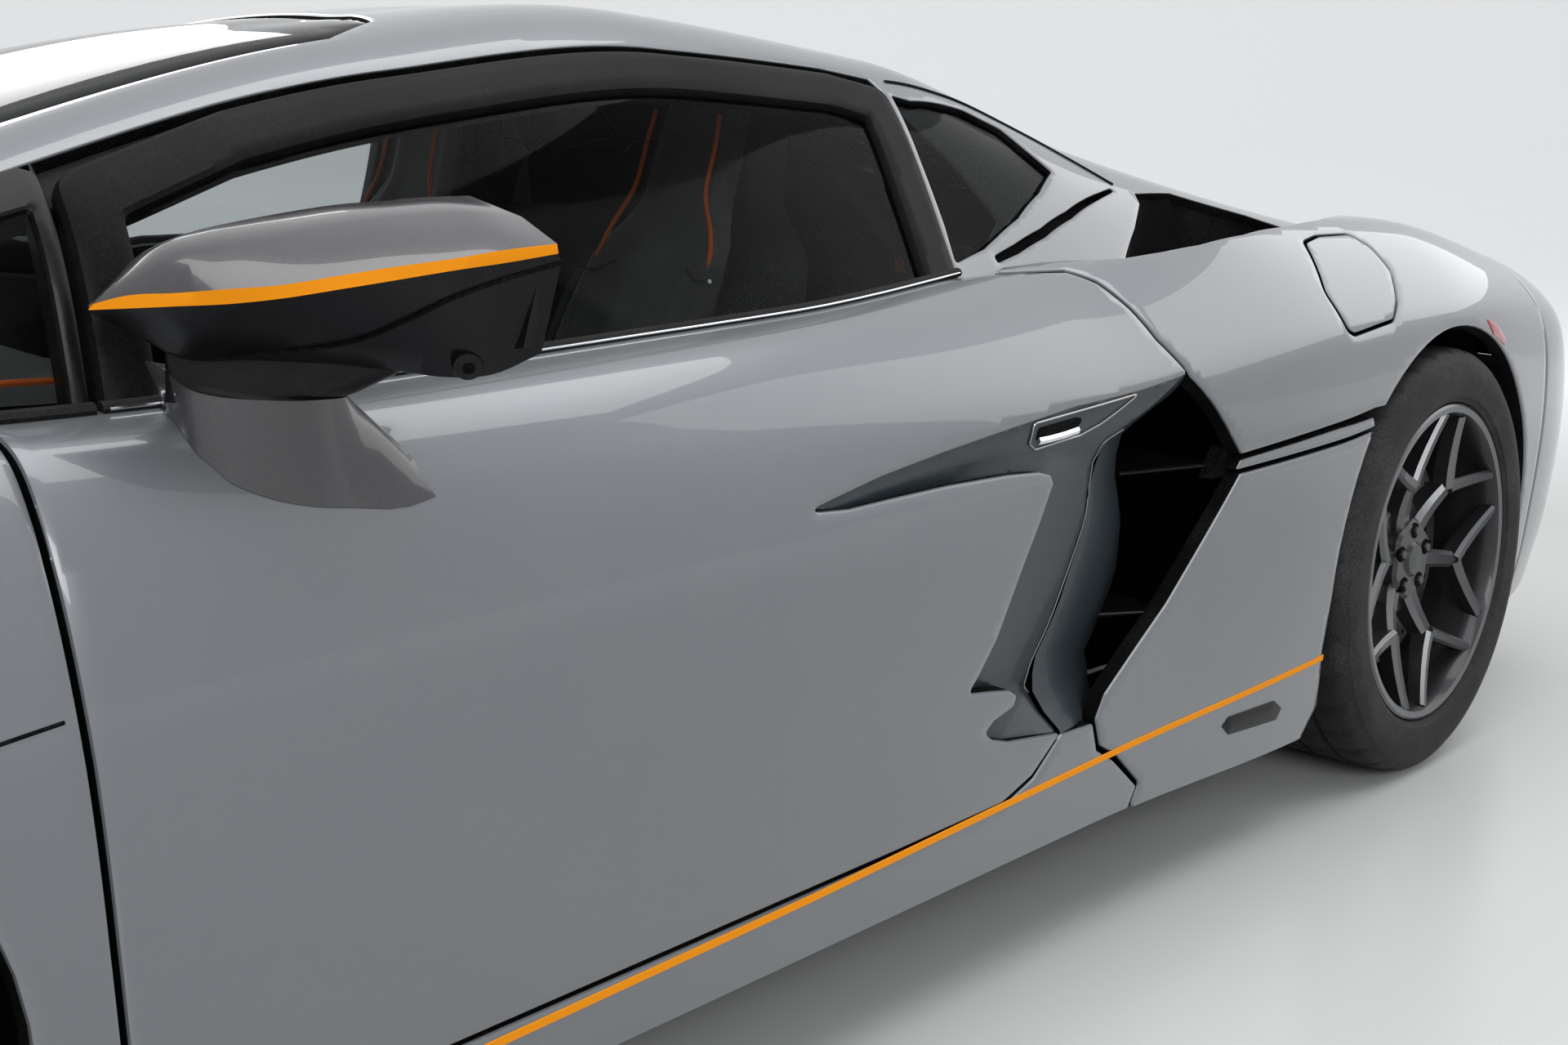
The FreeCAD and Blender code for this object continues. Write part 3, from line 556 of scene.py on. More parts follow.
@dataclass
class Panel:
    """A pressed panel: a region of a loft with rounded edges, a turned-in flange and any openings.

    Args:
        loft: The skin that the panel follows.
        outline: Its corners, in the skin's own x and v.
        radius: The radius of the outline's corners, in millimetres.
        edge: The radius of the edge that turns in.
        flange: The depth of the turned-in flange.
        grid: The spacing of points on the face.
        lift: The distance of the face outside the loft.
        openings: Outlines that are left open.
        relief: Depth below the skin, from x and y.
        in_spots: Whether the relief takes the skin's own x and v instead.
        lip: The depth of the flange around each opening.
    """

    loft: Loft
    outline: Sequence[Sequence[float]]
    radius: float = 12.0
    edge: float = 3.5
    flange: float = PLAIN_FLANGE
    grid: float = 18.0
    lift: float = 0.0
    openings: Sequence[Sequence[Sequence[float]]] = ()
    relief: Callable[[np.ndarray], np.ndarray] = no_relief
    in_spots: bool = False
    lip: float = PLAIN_FLANGE

    def build(self) -> MeshData:
        """Return the panel's mesh on the right side.

        Returns:
            Slot 0 is the face and its edge, and slot 1 is the flange.
        """
        rims = [(rounded_outline(self.outline, radius=self.radius, step=self.grid * 0.8), 1)]
        rims += [(rounded_outline(one, radius=OPENING_CORNER, step=self.grid * 0.6), -1)
                 for one in self.openings]
        coords: list[np.ndarray] = []
        depths: list[np.ndarray] = []
        edges: list[tuple[int, int]] = []
        rim_ids: list[tuple[np.ndarray, int]] = []
        total = 0
        for rim, sign in rims:
            for inset, drop in ((0.0, 1.0), (0.35, 0.3), (1.0, 0.0)):
                ring = inset_outline(rim, sign * inset * self.edge)
                ids = np.arange(len(ring)) + total
                coords.append(ring)
                depths.append(np.full(len(ring), drop * self.edge))
                edges += list(zip(ids.tolist(), np.roll(ids, -1).tolist()))
                if inset == 0.0:
                    rim_ids.append((ids, sign))
                total += len(ring)
        border = rims[0][0]
        low, high = border.min(axis=0), border.max(axis=0)
        columns = max(2, round((high[0] - low[0]) / self.grid))
        rows = max(2, round((high[1] - low[1]) / self.grid))
        mesh = np.meshgrid(np.linspace(low[0], high[0], columns), np.linspace(low[1], high[1], rows))
        field = np.column_stack([mesh[0].ravel(), mesh[1].ravel()])
        field = field[inside(field, border)]
        clear = self.edge + 0.35 * self.grid
        for rim, sign in rims:
            field = field[edge_distance(field, rim) > clear]
            if sign < 0:
                field = field[~inside(field, rim)]
        coords.append(field)
        depths.append(np.zeros(len(field)))
        flat = np.concatenate(coords)
        depth = np.concatenate(depths)
        result = delaunay_2d_cdt([Vector(p) for p in flat.tolist()], edges, [], 0, 1e-5)
        spots = np.array([list(p) for p in result[0]])
        origin = [ids[0] if ids else 0 for ids in result[3]]
        depth = depth[origin]
        faces = [tuple(face) for face in result[2]]
        middles = np.array([spots[list(face)].mean(axis=0) for face in faces])
        keep = inside(middles, border)
        for rim, sign in rims[1:]:
            keep &= ~inside(middles, rim)
        faces = [face for face, kept in zip(faces, keep) if kept]
        x, v = spots[:, 0], spots[:, 1]
        place = self.loft.points(x, v)
        normal = self.loft.normals(x, v)
        depth = depth + self.relief(spots if self.in_spots else place[:, :2]) - self.lift
        points = place - normal * depth[:, None]
        faces = [self.turned(face, points, normal) for face in faces]
        slots = [0] * len(faces)
        lookup = {i: k for k, ids in enumerate(result[3]) for i in ids}
        extra: list[np.ndarray] = []
        count = len(points)
        for ids, sign in rim_ids:
            ring = [lookup[i] for i in ids.tolist()]
            inner = points[ring] - normal[ring] * (self.flange if sign > 0 else min(self.lip, self.flange))
            extra.append(inner)
            size = len(ring)
            for k in range(size):
                m = (k + 1) % size
                face = (ring[k], ring[m], count + m, count + k)
                faces.append(face)
                slots.append(1)
            count += size
        return MeshData(np.concatenate([points] + extra) * MM, faces, slots)

    def turned(self, face: tuple[int, ...], points: np.ndarray, normal: np.ndarray) -> tuple[int, ...]:
        """Return a face wound so that it looks outwards."""
        a, b, c = (points[i] for i in face[:3])
        return face if np.cross(b - a, c - a) @ normal[face[0]] > 0 else face[::-1]


def grid_mesh(rows: np.ndarray, close_u: bool = False, close_v: bool = False, caps: bool = False) -> MeshData:
    """Return a mesh over a grid of points.

    Args:
        rows: Points in millimetres, rows by columns by x, y and z.
        close_u: Whether the last row joins the first.
        close_v: Whether the last column joins the first.
        caps: Whether the first and the last row are filled.

    Returns:
        The mesh, all in slot 0.
    """
    n, m = rows.shape[:2]
    faces: list[tuple[int, ...]] = []
    for i in range(n if close_u else n - 1):
        for j in range(m if close_v else m - 1):
            k, w = (i + 1) % n, (j + 1) % m
            faces.append((i * m + j, i * m + w, k * m + w, k * m + j))
    if caps:
        faces.append(tuple(range(m))[::-1])
        faces.append(tuple(range((n - 1) * m, n * m)))
    return MeshData(rows.reshape(-1, 3) * MM, faces, [0] * len(faces))


def turned(profile: Sequence[Sequence[float]], sides: int, closed: bool = True) -> MeshData:
    """Return a ring turned about the Y axis from a profile of radius and y, in millimetres.

    Args:
        profile: Pairs of a radius and a place along the axis, in millimetres.
        sides: How many steps go round.
        closed: Whether the profile closes on itself.

    Returns:
        The mesh.
    """
    shape = np.array(profile, float)
    angle = np.linspace(0, 2 * math.pi, sides, endpoint=False)[:, None]
    rows = np.stack(
        [shape[:, 0] * np.cos(angle), np.tile(shape[:, 1], (sides, 1)), shape[:, 0] * np.sin(angle)], axis=-1
    )
    return grid_mesh(rows, close_u=True, close_v=closed)


def swept(path: np.ndarray, radius: float, sides: int = 8, closed: bool = False,
          flat: float = 1.0) -> MeshData:
    """Return a round or flattened cord along a path, in millimetres.

    Args:
        path: The points of the line, in millimetres.
        radius: The radius of the round section.
        sides: How many sides the section has.
        closed: Whether the line closes on itself.
        flat: How flat the section is, with 1 for round.

    Returns:
        The mesh.
    """
    path = np.array(path, float)
    along = np.gradient(path, axis=0)
    if closed:
        along = np.roll(path, -1, axis=0) - np.roll(path, 1, axis=0)
    along /= np.linalg.norm(along, axis=1)[:, None] + 1e-12
    side = np.cross(along, np.array([0.0, 0.0, 1.0]))
    weak = np.linalg.norm(side, axis=1) < 0.1
    side[weak] = np.cross(along[weak], np.array([0.0, 1.0, 0.0]))
    side /= np.linalg.norm(side, axis=1)[:, None]
    up = np.cross(side, along)
    angle = np.linspace(0, 2 * math.pi, sides, endpoint=False)
    rows = (
        path[:, None, :]
        + radius * np.cos(angle)[None, :, None] * side[:, None, :]
        + radius * flat * np.sin(angle)[None, :, None] * up[:, None, :]
    )
    return grid_mesh(rows, close_u=closed, close_v=True, caps=not closed)


def slab(outline: np.ndarray, place: Callable[[np.ndarray, float], np.ndarray], thick: float,
         bevel: float) -> MeshData:
    """Return a plate with chamfered edges.

    Args:
        outline: Its outline in two coordinates.
        place: Puts points of the outline and a height into the car's millimetres.
        thick: Its thickness.
        bevel: The size of the chamfer on both faces.

    Returns:
        The mesh, all in slot 0.
    """
    rings = [
        place(inset_outline(outline, bevel), 0.0),
        place(outline, bevel),
        place(outline, thick - bevel),
        place(inset_outline(outline, bevel), thick),
    ]
    mesh = grid_mesh(np.stack(rings), close_v=True)
    count = len(outline)
    faces = mesh.faces
    for shift, order in ((0, 1), (3 * count, -1)):
        flat = [Vector(p) for p in inset_outline(outline, bevel).tolist()]
        loop = [(i, (i + 1) % count) for i in range(count)]
        cut = delaunay_2d_cdt(flat, loop, [], 1, 1e-5)
        for face in cut[2]:
            ids = tuple(shift + cut[3][i][0] for i in face if cut[3][i])
            if len(ids) > 2:
                faces.append(ids[::order])
    return MeshData(mesh.points, faces, [0] * len(faces))


def upright(y: float) -> Callable[[np.ndarray, float], np.ndarray]:
    """Return what stands an outline of x and z up at that y."""
    return lambda points, deep: np.column_stack([points[:, 0], np.full(len(points), y + deep), points[:, 1]])


def merged(meshes: Sequence[MeshData]) -> MeshData:
    """Return several meshes as one.

    Args:
        meshes: The meshes, in order.

    Returns:
        One mesh.
    """
    out = meshes[0]
    for mesh in meshes[1:]:
        out = out.joined(mesh)
    return out


def blended(points: Sequence[Sequence[float]], count: int, closed: bool = False) -> np.ndarray:
    """Return a smooth line of points through the given ones.

    Args:
        points: The points that the line goes through.
        count: The steps between two of them.
        closed: Whether the line closes on itself.

    Returns:
        The points of the line.
    """
    knots = np.array(points, float)
    n = len(knots)
    out = []
    parts = n if closed else n - 1
    for i in range(parts):
        p1, p2 = knots[i], knots[(i + 1) % n]
        p0 = knots[i - 1] if (closed or i > 0) else 2 * p1 - p2
        p3 = knots[(i + 2) % n] if (closed or i + 2 < n) else 2 * p2 - p1
        for k in range(count):
            t = k / count
            out.append(
                0.5 * (2 * p1 + (p2 - p0) * t + (2 * p0 - 5 * p1 + 4 * p2 - p3) * t**2
                       + (3 * p1 - p0 - 3 * p2 + p3) * t**3)
            )
    if not closed:
        out.append(knots[-1])
    return np.array(out)


class Nodes:
    """A small builder for shader nodes in one tree."""

    def __init__(self, tree: bpy.types.NodeTree) -> None:
        """Keep the tree and empty it."""
        self.tree = tree
        tree.nodes.clear()

    def add(self, kind: str, settings: Optional[dict] = None, **inputs: object) -> bpy.types.Node:
        """Add a node.

        Args:
            kind: The node's type without its leading word.
            settings: Properties of the node.
            inputs: Values or sockets for its inputs, with underscores for spaces.

        Returns:
            The node.
        """
        node = self.tree.nodes.new("ShaderNode" + kind)
        for key, value in (settings or {}).items():
            setattr(node, key, value)
        for key, value in inputs.items():
            name = key.replace("_", " ")
            numbered = name[0] == "i" and name[1:].isdigit()
            socket = node.inputs[int(name[1:]) if numbered else name]
            if isinstance(value, bpy.types.NodeSocket):
                self.tree.links.new(value, socket)
            else:
                socket.default_value = value
        return node

    def ramp(self, value: bpy.types.NodeSocket, low: float, high: float,
             out: tuple[float, float]) -> bpy.types.NodeSocket:
        """Return the value mapped from one range to another.

        Args:
            value: The socket with the value.
            low: The value that gives the first output.
            high: The value that gives the second.
            out: Both outputs.

        Returns:
            The socket with the mapped value.
        """
        node = self.add("MapRange", None, Value=value, From_Min=low, From_Max=high, To_Min=out[0],
                        To_Max=out[1])
        return node.outputs["Result"]


def shader_group(name: str, inputs: Sequence[tuple[str, str, object]],
                 outputs: Sequence[tuple[str, str]]) -> tuple:
    """Return a new shader group with its builder, its input and its output node.

    Args:
        name: The group's name.
        inputs: The label, kind and plain value of each input.
        outputs: The label and kind of each output.

    Returns:
        The tree, its builder, its input node and its output node.
    """
    tree = bpy.data.node_groups.new(name, "ShaderNodeTree")
    for label, kind, value in inputs:
        socket = tree.interface.new_socket(label, in_out="INPUT", socket_type="NodeSocket" + kind)
        socket.default_value = value
    for label, kind in outputs:
        tree.interface.new_socket(label, in_out="OUTPUT", socket_type="NodeSocket" + kind)
    nodes = Nodes(tree)
    source = tree.nodes.new("NodeGroupInput")
    sink = tree.nodes.new("NodeGroupOutput")
    return tree, nodes, source, sink


@dataclass
class Effects:
    """The surface effects that several finishes share, each a shader group."""

    def __post_init__(self) -> None:
        """Build the groups once."""
        self.clouding = self.build_clouding()
        self.grain = self.build_grain()
        self.weave = self.build_weave()

    def build_clouding(self) -> bpy.types.NodeTree:
        """Return the group that varies a colour and a roughness with faint handling marks.

        Returns:
            The group.
        """
        tree, n, src, out = shader_group(
            "surface_clouding",
            [("Color", "Color", (0.5, 0.5, 0.5, 1)), ("Dust Color", "Color", (0.4, 0.39, 0.37, 1)),
             ("Amount", "Float", 0.1), ("Roughness", "Float", 0.4), ("Spread", "Float", 0.05),
             ("Scale", "Float", 9.0)],
            [("Color", "Color"), ("Roughness", "Float"), ("Mask", "Float")],
        )
        place = n.add("TexCoord").outputs["Object"]
        wide = n.add("TexNoise", None, Vector=place, Scale=src.outputs["Scale"], Detail=4.0, Roughness=0.6)
        fine = n.add("TexNoise", None, Vector=place, Scale=310.0, Detail=2.0)
        both = n.add("Math", {"operation": "MULTIPLY"}, i0=wide.outputs["Fac"], i1=fine.outputs["Fac"])
        mask = n.ramp(both.outputs[0], 0.22, 0.36, (0.0, 1.0))
        amount = n.add("Math", {"operation": "MULTIPLY"}, i0=mask, i1=src.outputs["Amount"])
        mix = n.add("Mix", {"data_type": "RGBA"}, i0=amount.outputs[0], i6=src.outputs["Color"],
                    i7=src.outputs["Dust Color"])
        shift = n.add("Math", {"operation": "SUBTRACT"}, i0=wide.outputs["Fac"], i1=0.5)
        rough = n.add("Math", {"operation": "MULTIPLY_ADD"}, i0=shift.outputs[0], i1=src.outputs["Spread"],
                      i2=src.outputs["Roughness"])
        tree.links.new(mix.outputs[2], out.inputs["Color"])
        tree.links.new(rough.outputs[0], out.inputs["Roughness"])
        tree.links.new(mask, out.inputs["Mask"])
        return tree

    def build_grain(self) -> bpy.types.NodeTree:
        """Return the group that gives the height of moulded or leather grain.

        Returns:
            The group.
        """
        tree, n, src, out = shader_group(
            "moulded_grain",
            [("Scale", "Float", 900.0), ("Softness", "Float", 0.5)],
            [("Height", "Float")],
        )
        place = n.add("TexCoord").outputs["Object"]
        cells = n.add("TexVoronoi", {"feature": "SMOOTH_F1"}, Vector=place, Scale=src.outputs["Scale"],
                      Smoothness=src.outputs["Softness"])
        noise = n.add("TexNoise", None, Vector=place, Scale=src.outputs["Scale"], Detail=3.0)
        both = n.add("Math", {"operation": "ADD"}, i0=cells.outputs["Distance"], i1=noise.outputs["Fac"])
        tree.links.new(both.outputs[0], out.inputs["Height"])
        return tree

    def build_weave(self) -> bpy.types.NodeTree:
        """Return the group that gives the height and the shade of a fine woven cloth or mesh.

        Returns:
            The group.
        """
        tree, n, src, out = shader_group(
            "fine_weave", [("Scale", "Float", 500.0)], [("Height", "Float"), ("Shade", "Float")]
        )
        place = n.add("TexCoord").outputs["Object"]
        one = n.add("TexWave", {"bands_direction": "X"}, Vector=place, Scale=src.outputs["Scale"])
        two = n.add("TexWave", {"bands_direction": "Z"}, Vector=place, Scale=src.outputs["Scale"])
        three = n.add("TexWave", {"bands_direction": "Y"}, Vector=place, Scale=src.outputs["Scale"])
        top = n.add("Math", {"operation": "MAXIMUM"}, i0=one.outputs["Fac"], i1=two.outputs["Fac"])
        both = n.add("Math", {"operation": "MAXIMUM"}, i0=top.outputs[0], i1=three.outputs["Fac"])
        shade = n.ramp(both.outputs[0], 0.0, 1.0, (0.7, 1.0))
        tree.links.new(both.outputs[0], out.inputs["Height"])
        tree.links.new(shade, out.inputs["Shade"])
        return tree


class Texture(Enum):
    """The relief of a finish."""

    SMOOTH = "smooth"
    GRAIN = "grain"
    WEAVE = "weave"


@dataclass(frozen=True)
class Finish:
    """One finish of the car.

    Args:
        name: Its name in plain words.
        slot: The record's slot that it belongs to, not used.
        color: Its colour.
        metallic: How far it is metal.
        roughness: Its roughness.
        spread: How far its roughness varies.
        coat: The weight of its clear coat.
        dust: How much dust lies on it.
        texture: Its relief.
        scale: The scale of the relief, per metre.
        relief: The depth of the relief in millimetres.
        clear: How much light passes through it.
        glow: The strength of its own light.
        sheen: The weight of its cloth sheen.
        shine: The level of its plain reflections.
        bend: How far it bends light, as its index.
    """

    name: str
    slot: str
    color: Color
    metallic: float = 0.0
    roughness: float = 0.5
    spread: float = 0.06
    coat: float = 0.0
    dust: float = 0.0
    texture: Texture = Texture.SMOOTH
    scale: float = 900.0
    relief: float = 0.1
    clear: float = 0.0
    glow: float = 0.0
    sheen: float = 0.0
    shine: float = 0.5
    bend: float = 1.45

    def build(self, effects: Effects) -> bpy.types.Material:
        """Return the finish as a material.

        Args:
            effects: The shared shader groups.

        Returns:
            The material.
        """
        material = bpy.data.materials.new(self.name)
        material.use_nodes = True
        n = Nodes(material.node_tree)
        cloud = n.add("Group", {"node_tree": effects.clouding}, Color=(*self.color, 1), Amount=self.dust,
                      Roughness=self.roughness, Spread=self.spread)
        shader = n.add("BsdfPrincipled", None, Metallic=self.metallic, Coat_Weight=self.coat,
                       Coat_Roughness=COAT_ROUGHNESS, Transmission_Weight=self.clear,
                       Sheen_Weight=self.sheen, Emission_Strength=self.glow,
                       Specular_IOR_Level=self.shine, IOR=self.bend)
        n.tree.links.new(cloud.outputs["Color"], shader.inputs["Base Color"])
        n.tree.links.new(cloud.outputs["Roughness"], shader.inputs["Roughness"])
        if self.glow:
            shader.inputs["Emission Color"].default_value = (*self.color, 1)
        if self.texture is not Texture.SMOOTH:
            tree = effects.grain if self.texture is Texture.GRAIN else effects.weave
            height = n.add("Group", {"node_tree": tree}, Scale=self.scale)
            bump = n.add("Bump", None, Strength=1.0, Distance=self.relief * MM,
                         Height=height.outputs["Height"])
            n.tree.links.new(bump.outputs["Normal"], shader.inputs["Normal"])
        sink = n.add("OutputMaterial", None, Surface=shader.outputs["BSDF"])
        sink.is_active_output = True
        return material


class Look(Enum):
    """The car's finishes."""

    PAINT = Finish("grey gloss paint", "paint", (0.155, 0.165, 0.178), metallic=0.3, roughness=0.34,
                   spread=0.04, coat=0.85, dust=0.03)
    # Painted shade: the grey body paint darkened to stand for the shade in the door's hollow and on the
    # intake's cheek
    SHADED_PAINT = Finish("paint darkened as painted shade", "paint", (0.026, 0.035, 0.042), metallic=0.1, roughness=0.36,
                   spread=0.04, coat=0.15, dust=0.02, shine=0.35)
    STRIPE = Finish("orange stripe paint", "paint", (0.8, 0.27, 0.004), roughness=0.6, spread=0.03,
                    shine=0.15)
    BLACK = Finish("gloss black panel", "gloss_black", (0.005, 0.005, 0.006), roughness=0.3, spread=0.04,
                   coat=0.06, dust=0.01, shine=0.18)
    SMOKE = Finish("smoke grey gloss shell", "gloss_black", (0.045, 0.043, 0.047), metallic=0.1,
                   roughness=0.24, spread=0.04, coat=0.7, dust=0.02)
    FRAME = Finish("satin black frame", "gloss_black", (0.005, 0.005, 0.006), roughness=0.4, spread=0.05,
                   dust=0.01, shine=0.08)
    PLASTIC = Finish("black moulded plastic", "black_plastic", (0.012, 0.012, 0.013), roughness=0.6,
                     spread=0.08, dust=0.06, texture=Texture.GRAIN, scale=1100.0, relief=0.1)
    RUBBER = Finish("black rubber seal", "black_plastic", (0.006, 0.006, 0.006), roughness=0.65, dust=0.02,
                    shine=0.2)
    GLASS = Finish("tinted glass", "glass", (0.36, 0.39, 0.39), roughness=0.02, spread=0.0, clear=1.0,
                   bend=1.1)
    LAMP = Finish("lamp chrome", "lamp", (0.75, 0.77, 0.8), metallic=1.0, roughness=0.16, spread=0.04)
    LAMP_GLOW = Finish("lamp light guide", "lamp", (0.9, 0.93, 1.0), roughness=0.2, glow=0.6)
    TAIL = Finish("red lamp lens", "tail_lamp", (0.32, 0.008, 0.01), roughness=0.12, spread=0.03, coat=1.0)
    STEEL = Finish("brushed steel", "steel", (0.42, 0.41, 0.4), metallic=1.0, roughness=0.32, spread=0.12,
                   dust=0.1)
    BRAKE = Finish("turned brake iron", "brake", (0.2, 0.195, 0.19), metallic=1.0, roughness=0.38,
                   spread=0.12, dust=0.15)
    CALIPER = Finish("black caliper paint", "brake", (0.02, 0.02, 0.022), roughness=0.3, spread=0.05,
                     coat=0.6, dust=0.05)
    SPOKE = Finish("satin black wheel", "rim", (0.028, 0.029, 0.031), metallic=0.6, roughness=0.34, coat=0.3,
                   dust=0.02)
    SPOKE_EDGE = Finish("turned wheel edge", "rim", (0.14, 0.143, 0.15), metallic=0.85, roughness=0.34,
                        coat=0.2)
    TYRE = Finish("tyre rubber", "tyre", (0.011, 0.011, 0.012), roughness=0.66, spread=0.08, dust=0.05,
                  texture=Texture.GRAIN, scale=700.0, relief=0.1, shine=0.3)
    CABIN = Finish("black cabin trim", "interior", (0.008, 0.008, 0.009), roughness=0.75, spread=0.08,
                   dust=0.03, texture=Texture.GRAIN, scale=1500.0, relief=0.08, shine=0.25)
    CLOTH = Finish("black seat cloth", "seat", (0.02, 0.02, 0.021), roughness=0.85, spread=0.05, dust=0.1,
                   texture=Texture.WEAVE, scale=1600.0, relief=0.25, sheen=0.3)
    ACCENT = Finish("orange trim", "seat", (0.75, 0.13, 0.01), roughness=0.6, spread=0.05,
                    texture=Texture.WEAVE, scale=1800.0, relief=0.2)
    BELT = Finish("black belt webbing", "seat", (0.02, 0.02, 0.02), roughness=0.7, spread=0.05, dust=0.05,
                  texture=Texture.WEAVE, scale=900.0, relief=0.35)
    # Painted shade: flat black put where there is only shade, on flanges, behind gaps and openings and in
    # holes and recesses; it also draws the dark seams and the arch liners
    SHADOW = Finish("painted shade and seam black", "structure", (0.003, 0.003, 0.003), roughness=0.85, spread=0.05,
                    dust=0.02, shine=0.06)
    ENGINE = Finish("cast engine metal", "engine", (0.12, 0.12, 0.125), metallic=0.7, roughness=0.5,
                    spread=0.1, dust=0.15, texture=Texture.GRAIN, scale=600.0, relief=0.3)
    STRUCTURE = Finish("coated body structure", "structure", (0.014, 0.014, 0.015), metallic=0.1,
                       roughness=0.65, spread=0.08, dust=0.08, shine=0.2)
    ARMS = Finish("forged arm metal", "arms", (0.1, 0.1, 0.105), metallic=0.8, roughness=0.45, spread=0.1,
                  dust=0.15)


# The finishes of a painted panel: its face, and painted shade black on its turned-in flange
PAINTED = (Look.PAINT, Look.SHADOW)


@dataclass
class Workshop:
    """Makes pieces in the scene and dresses them.

    Args:
        effects: The shared shader groups.
    """

    effects: Effects

    def __post_init__(self) -> None:
        """Build every finish once."""
        self.materials = {look: look.value.build(self.effects) for look in Look}

    def add(
        self, name: str, mesh: MeshData, looks: Sequence[Look], body: str = Body.CHASSIS.value,
        nodes: Sequence[str] = (), angle: float = SMOOTH_ANGLE, solid: bool = False,
    ) -> bpy.types.Object:
        """Add a piece to the car.

        Args:
            name: The piece's name.
            mesh: Its mesh.
            looks: Its finishes, in the order of the mesh's slots.
            body: The frame's body that it rides on.
            nodes: The frame's nodes that it stands for.
            angle: Edges sharper than this stay crisp.
            solid: Whether the mesh is closed, so that its faces can all be turned outwards.

        Returns:
            The object.
        """
        data = bpy.data.meshes.new(name)
        data.from_pydata(mesh.points.tolist(), [], mesh.faces)
        for look in looks:
            data.materials.append(self.materials[look])
        data.polygons.foreach_set("material_index", np.minimum(mesh.slots, len(looks) - 1).astype(np.int32))
        if solid:
            work = bmesh.new()
            work.from_mesh(data)
            bmesh.ops.remove_doubles(work, verts=work.verts, dist=1e-6)
            bmesh.ops.recalc_face_normals(work, faces=work.faces)
            work.to_mesh(data)
            work.free()
        data.update()
        data.shade_smooth()
        data.set_sharp_from_angle(angle=math.radians(angle))
        piece = bpy.data.objects.new(name, data)
        bpy.context.scene.collection.objects.link(piece)
        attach(piece, body)
        if nodes:
            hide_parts(*nodes)
        LOG.info("%s: %d faces on %s", name, len(mesh.faces), body)
        return piece

    def pair(
        self, name: str, mesh: MeshData, looks: Sequence[Look], body: Body, node: str = "",
        angle: float = SMOOTH_ANGLE, solid: bool = False,
    ) -> None:
        """Add a piece on each side of the car, from a mesh on the right side.

        Args:
            name: The pieces' name without its side.
            mesh: The mesh of the right-hand piece.
            looks: Its finishes, in the order of the mesh's slots.
            body: The moving body that it rides on.
            node: The frame's node that it stands for, without its side, if there is one.
            angle: Edges sharper than this stay crisp.
            solid: Whether the mesh is closed.
        """
        for side, sign in SIDES:
            self.add(f"{name}_{side}", mesh.for_side(sign), looks, body_name(body, side),
                     [f"{node}_{side}"] if node else [], angle, solid)

    def dress(self, node: str, look: Look) -> None:
        """Give one of the frame's own nodes a finish.

        Args:
            node: The node's name.
            look: The finish.
        """
        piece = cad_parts[node]
        piece.data.materials.clear()
        piece.data.materials.append(self.materials[look])


def side_points(outline: Sequence[Sequence[float]], loft: Loft = BODY) -> np.ndarray:
    """Return a side outline in a loft's own x and v."""
    flat = np.array(outline, float)
    return np.column_stack([flat[:, 0], loft.locate(View.SIDE, flat[:, 0], flat[:, 1])])


def plan_points(outline: Sequence[Sequence[float]], loft: Loft = BODY) -> np.ndarray:
    """Return a plan outline in a loft's own x and v."""
    flat = np.array(outline, float)
    return np.column_stack([flat[:, 0], loft.locate(View.PLAN, flat[:, 0], flat[:, 1])])


def whole_width(half: np.ndarray, loft: Loft) -> np.ndarray:
    """Return an outline that crosses the centre line from its right half, whose ends lie on that line.

    Args:
        half: The right half, from the centre line and back to it.
        loft: The skin that it lies on.

    Returns:
        The closed outline.
    """
    other = half[::-1].copy()
    other[:, 1] = 2 * loft.vs[-1] - other[:, 1]
    return np.concatenate([half, other[1:-1]])


def mirrored_pair(outline: np.ndarray, loft: Loft) -> list[np.ndarray]:
    """Return an outline on a skin and its mirror image across the centre line.

    Args:
        outline: The right-hand outline.
        loft: The skin that it lies on.

    Returns:
        The right-hand and the left-hand outline.
    """
    other = outline.copy()
    other[:, 1] = 2 * loft.vs[-1] - other[:, 1]
    return [outline, other[::-1]]


def arc(centre: tuple[float, float], radius: float, start: float, end: float, count: int) -> Outline:
    """Return points on a circle seen from the side, between two angles in degrees."""
    angles = np.radians(np.linspace(start, end, count))
    return [(centre[0] + radius * math.cos(t), centre[1] + radius * math.sin(t)) for t in angles]


CREST_V = float(BODY.vs[-3])
CENTRE_V = float(BODY.vs[-1])
FRONT_HUB = (FRONT_AXLE[0] * 1000, FRONT_AXLE[2] * 1000)
REAR_HUB = (REAR_AXLE[0] * 1000, REAR_AXLE[2] * 1000)


def line_distance(points: np.ndarray, line: Sequence[Sequence[float]]) -> np.ndarray:
    """Return the distance of each point from an open line.

    Args:
        points: The points to measure from.
        line: The points of the line.

    Returns:
        The distance of each point.
    """
    best = np.full(len(points), np.inf)
    knots = np.array(line, float)
    for one, two in zip(knots[:-1], knots[1:]):
        along = two - one
        t = np.clip(((points - one) @ along) / (along @ along), 0, 1)
        best = np.minimum(best, np.linalg.norm(points - one - t[:, None] * along, axis=1))
    return best


def hollow_depth(spots: np.ndarray) -> np.ndarray:
    """Return the depth of the hollow that leads to the side intake.

    Args:
        spots: Places on the door's skin, in its own x and v.

    Returns:
        The depth at each place, in millimetres.
    """
    below = line_distance(spots, HOLLOW_UPPER)
    beside = line_distance(spots, HOLLOW_LOWER)
    depth = np.minimum(2 + 0.46 * below, 17 + 0.19 * beside)
    return depth * np.clip((spots[:, 1] - 146) / 60, 0.05, 1)


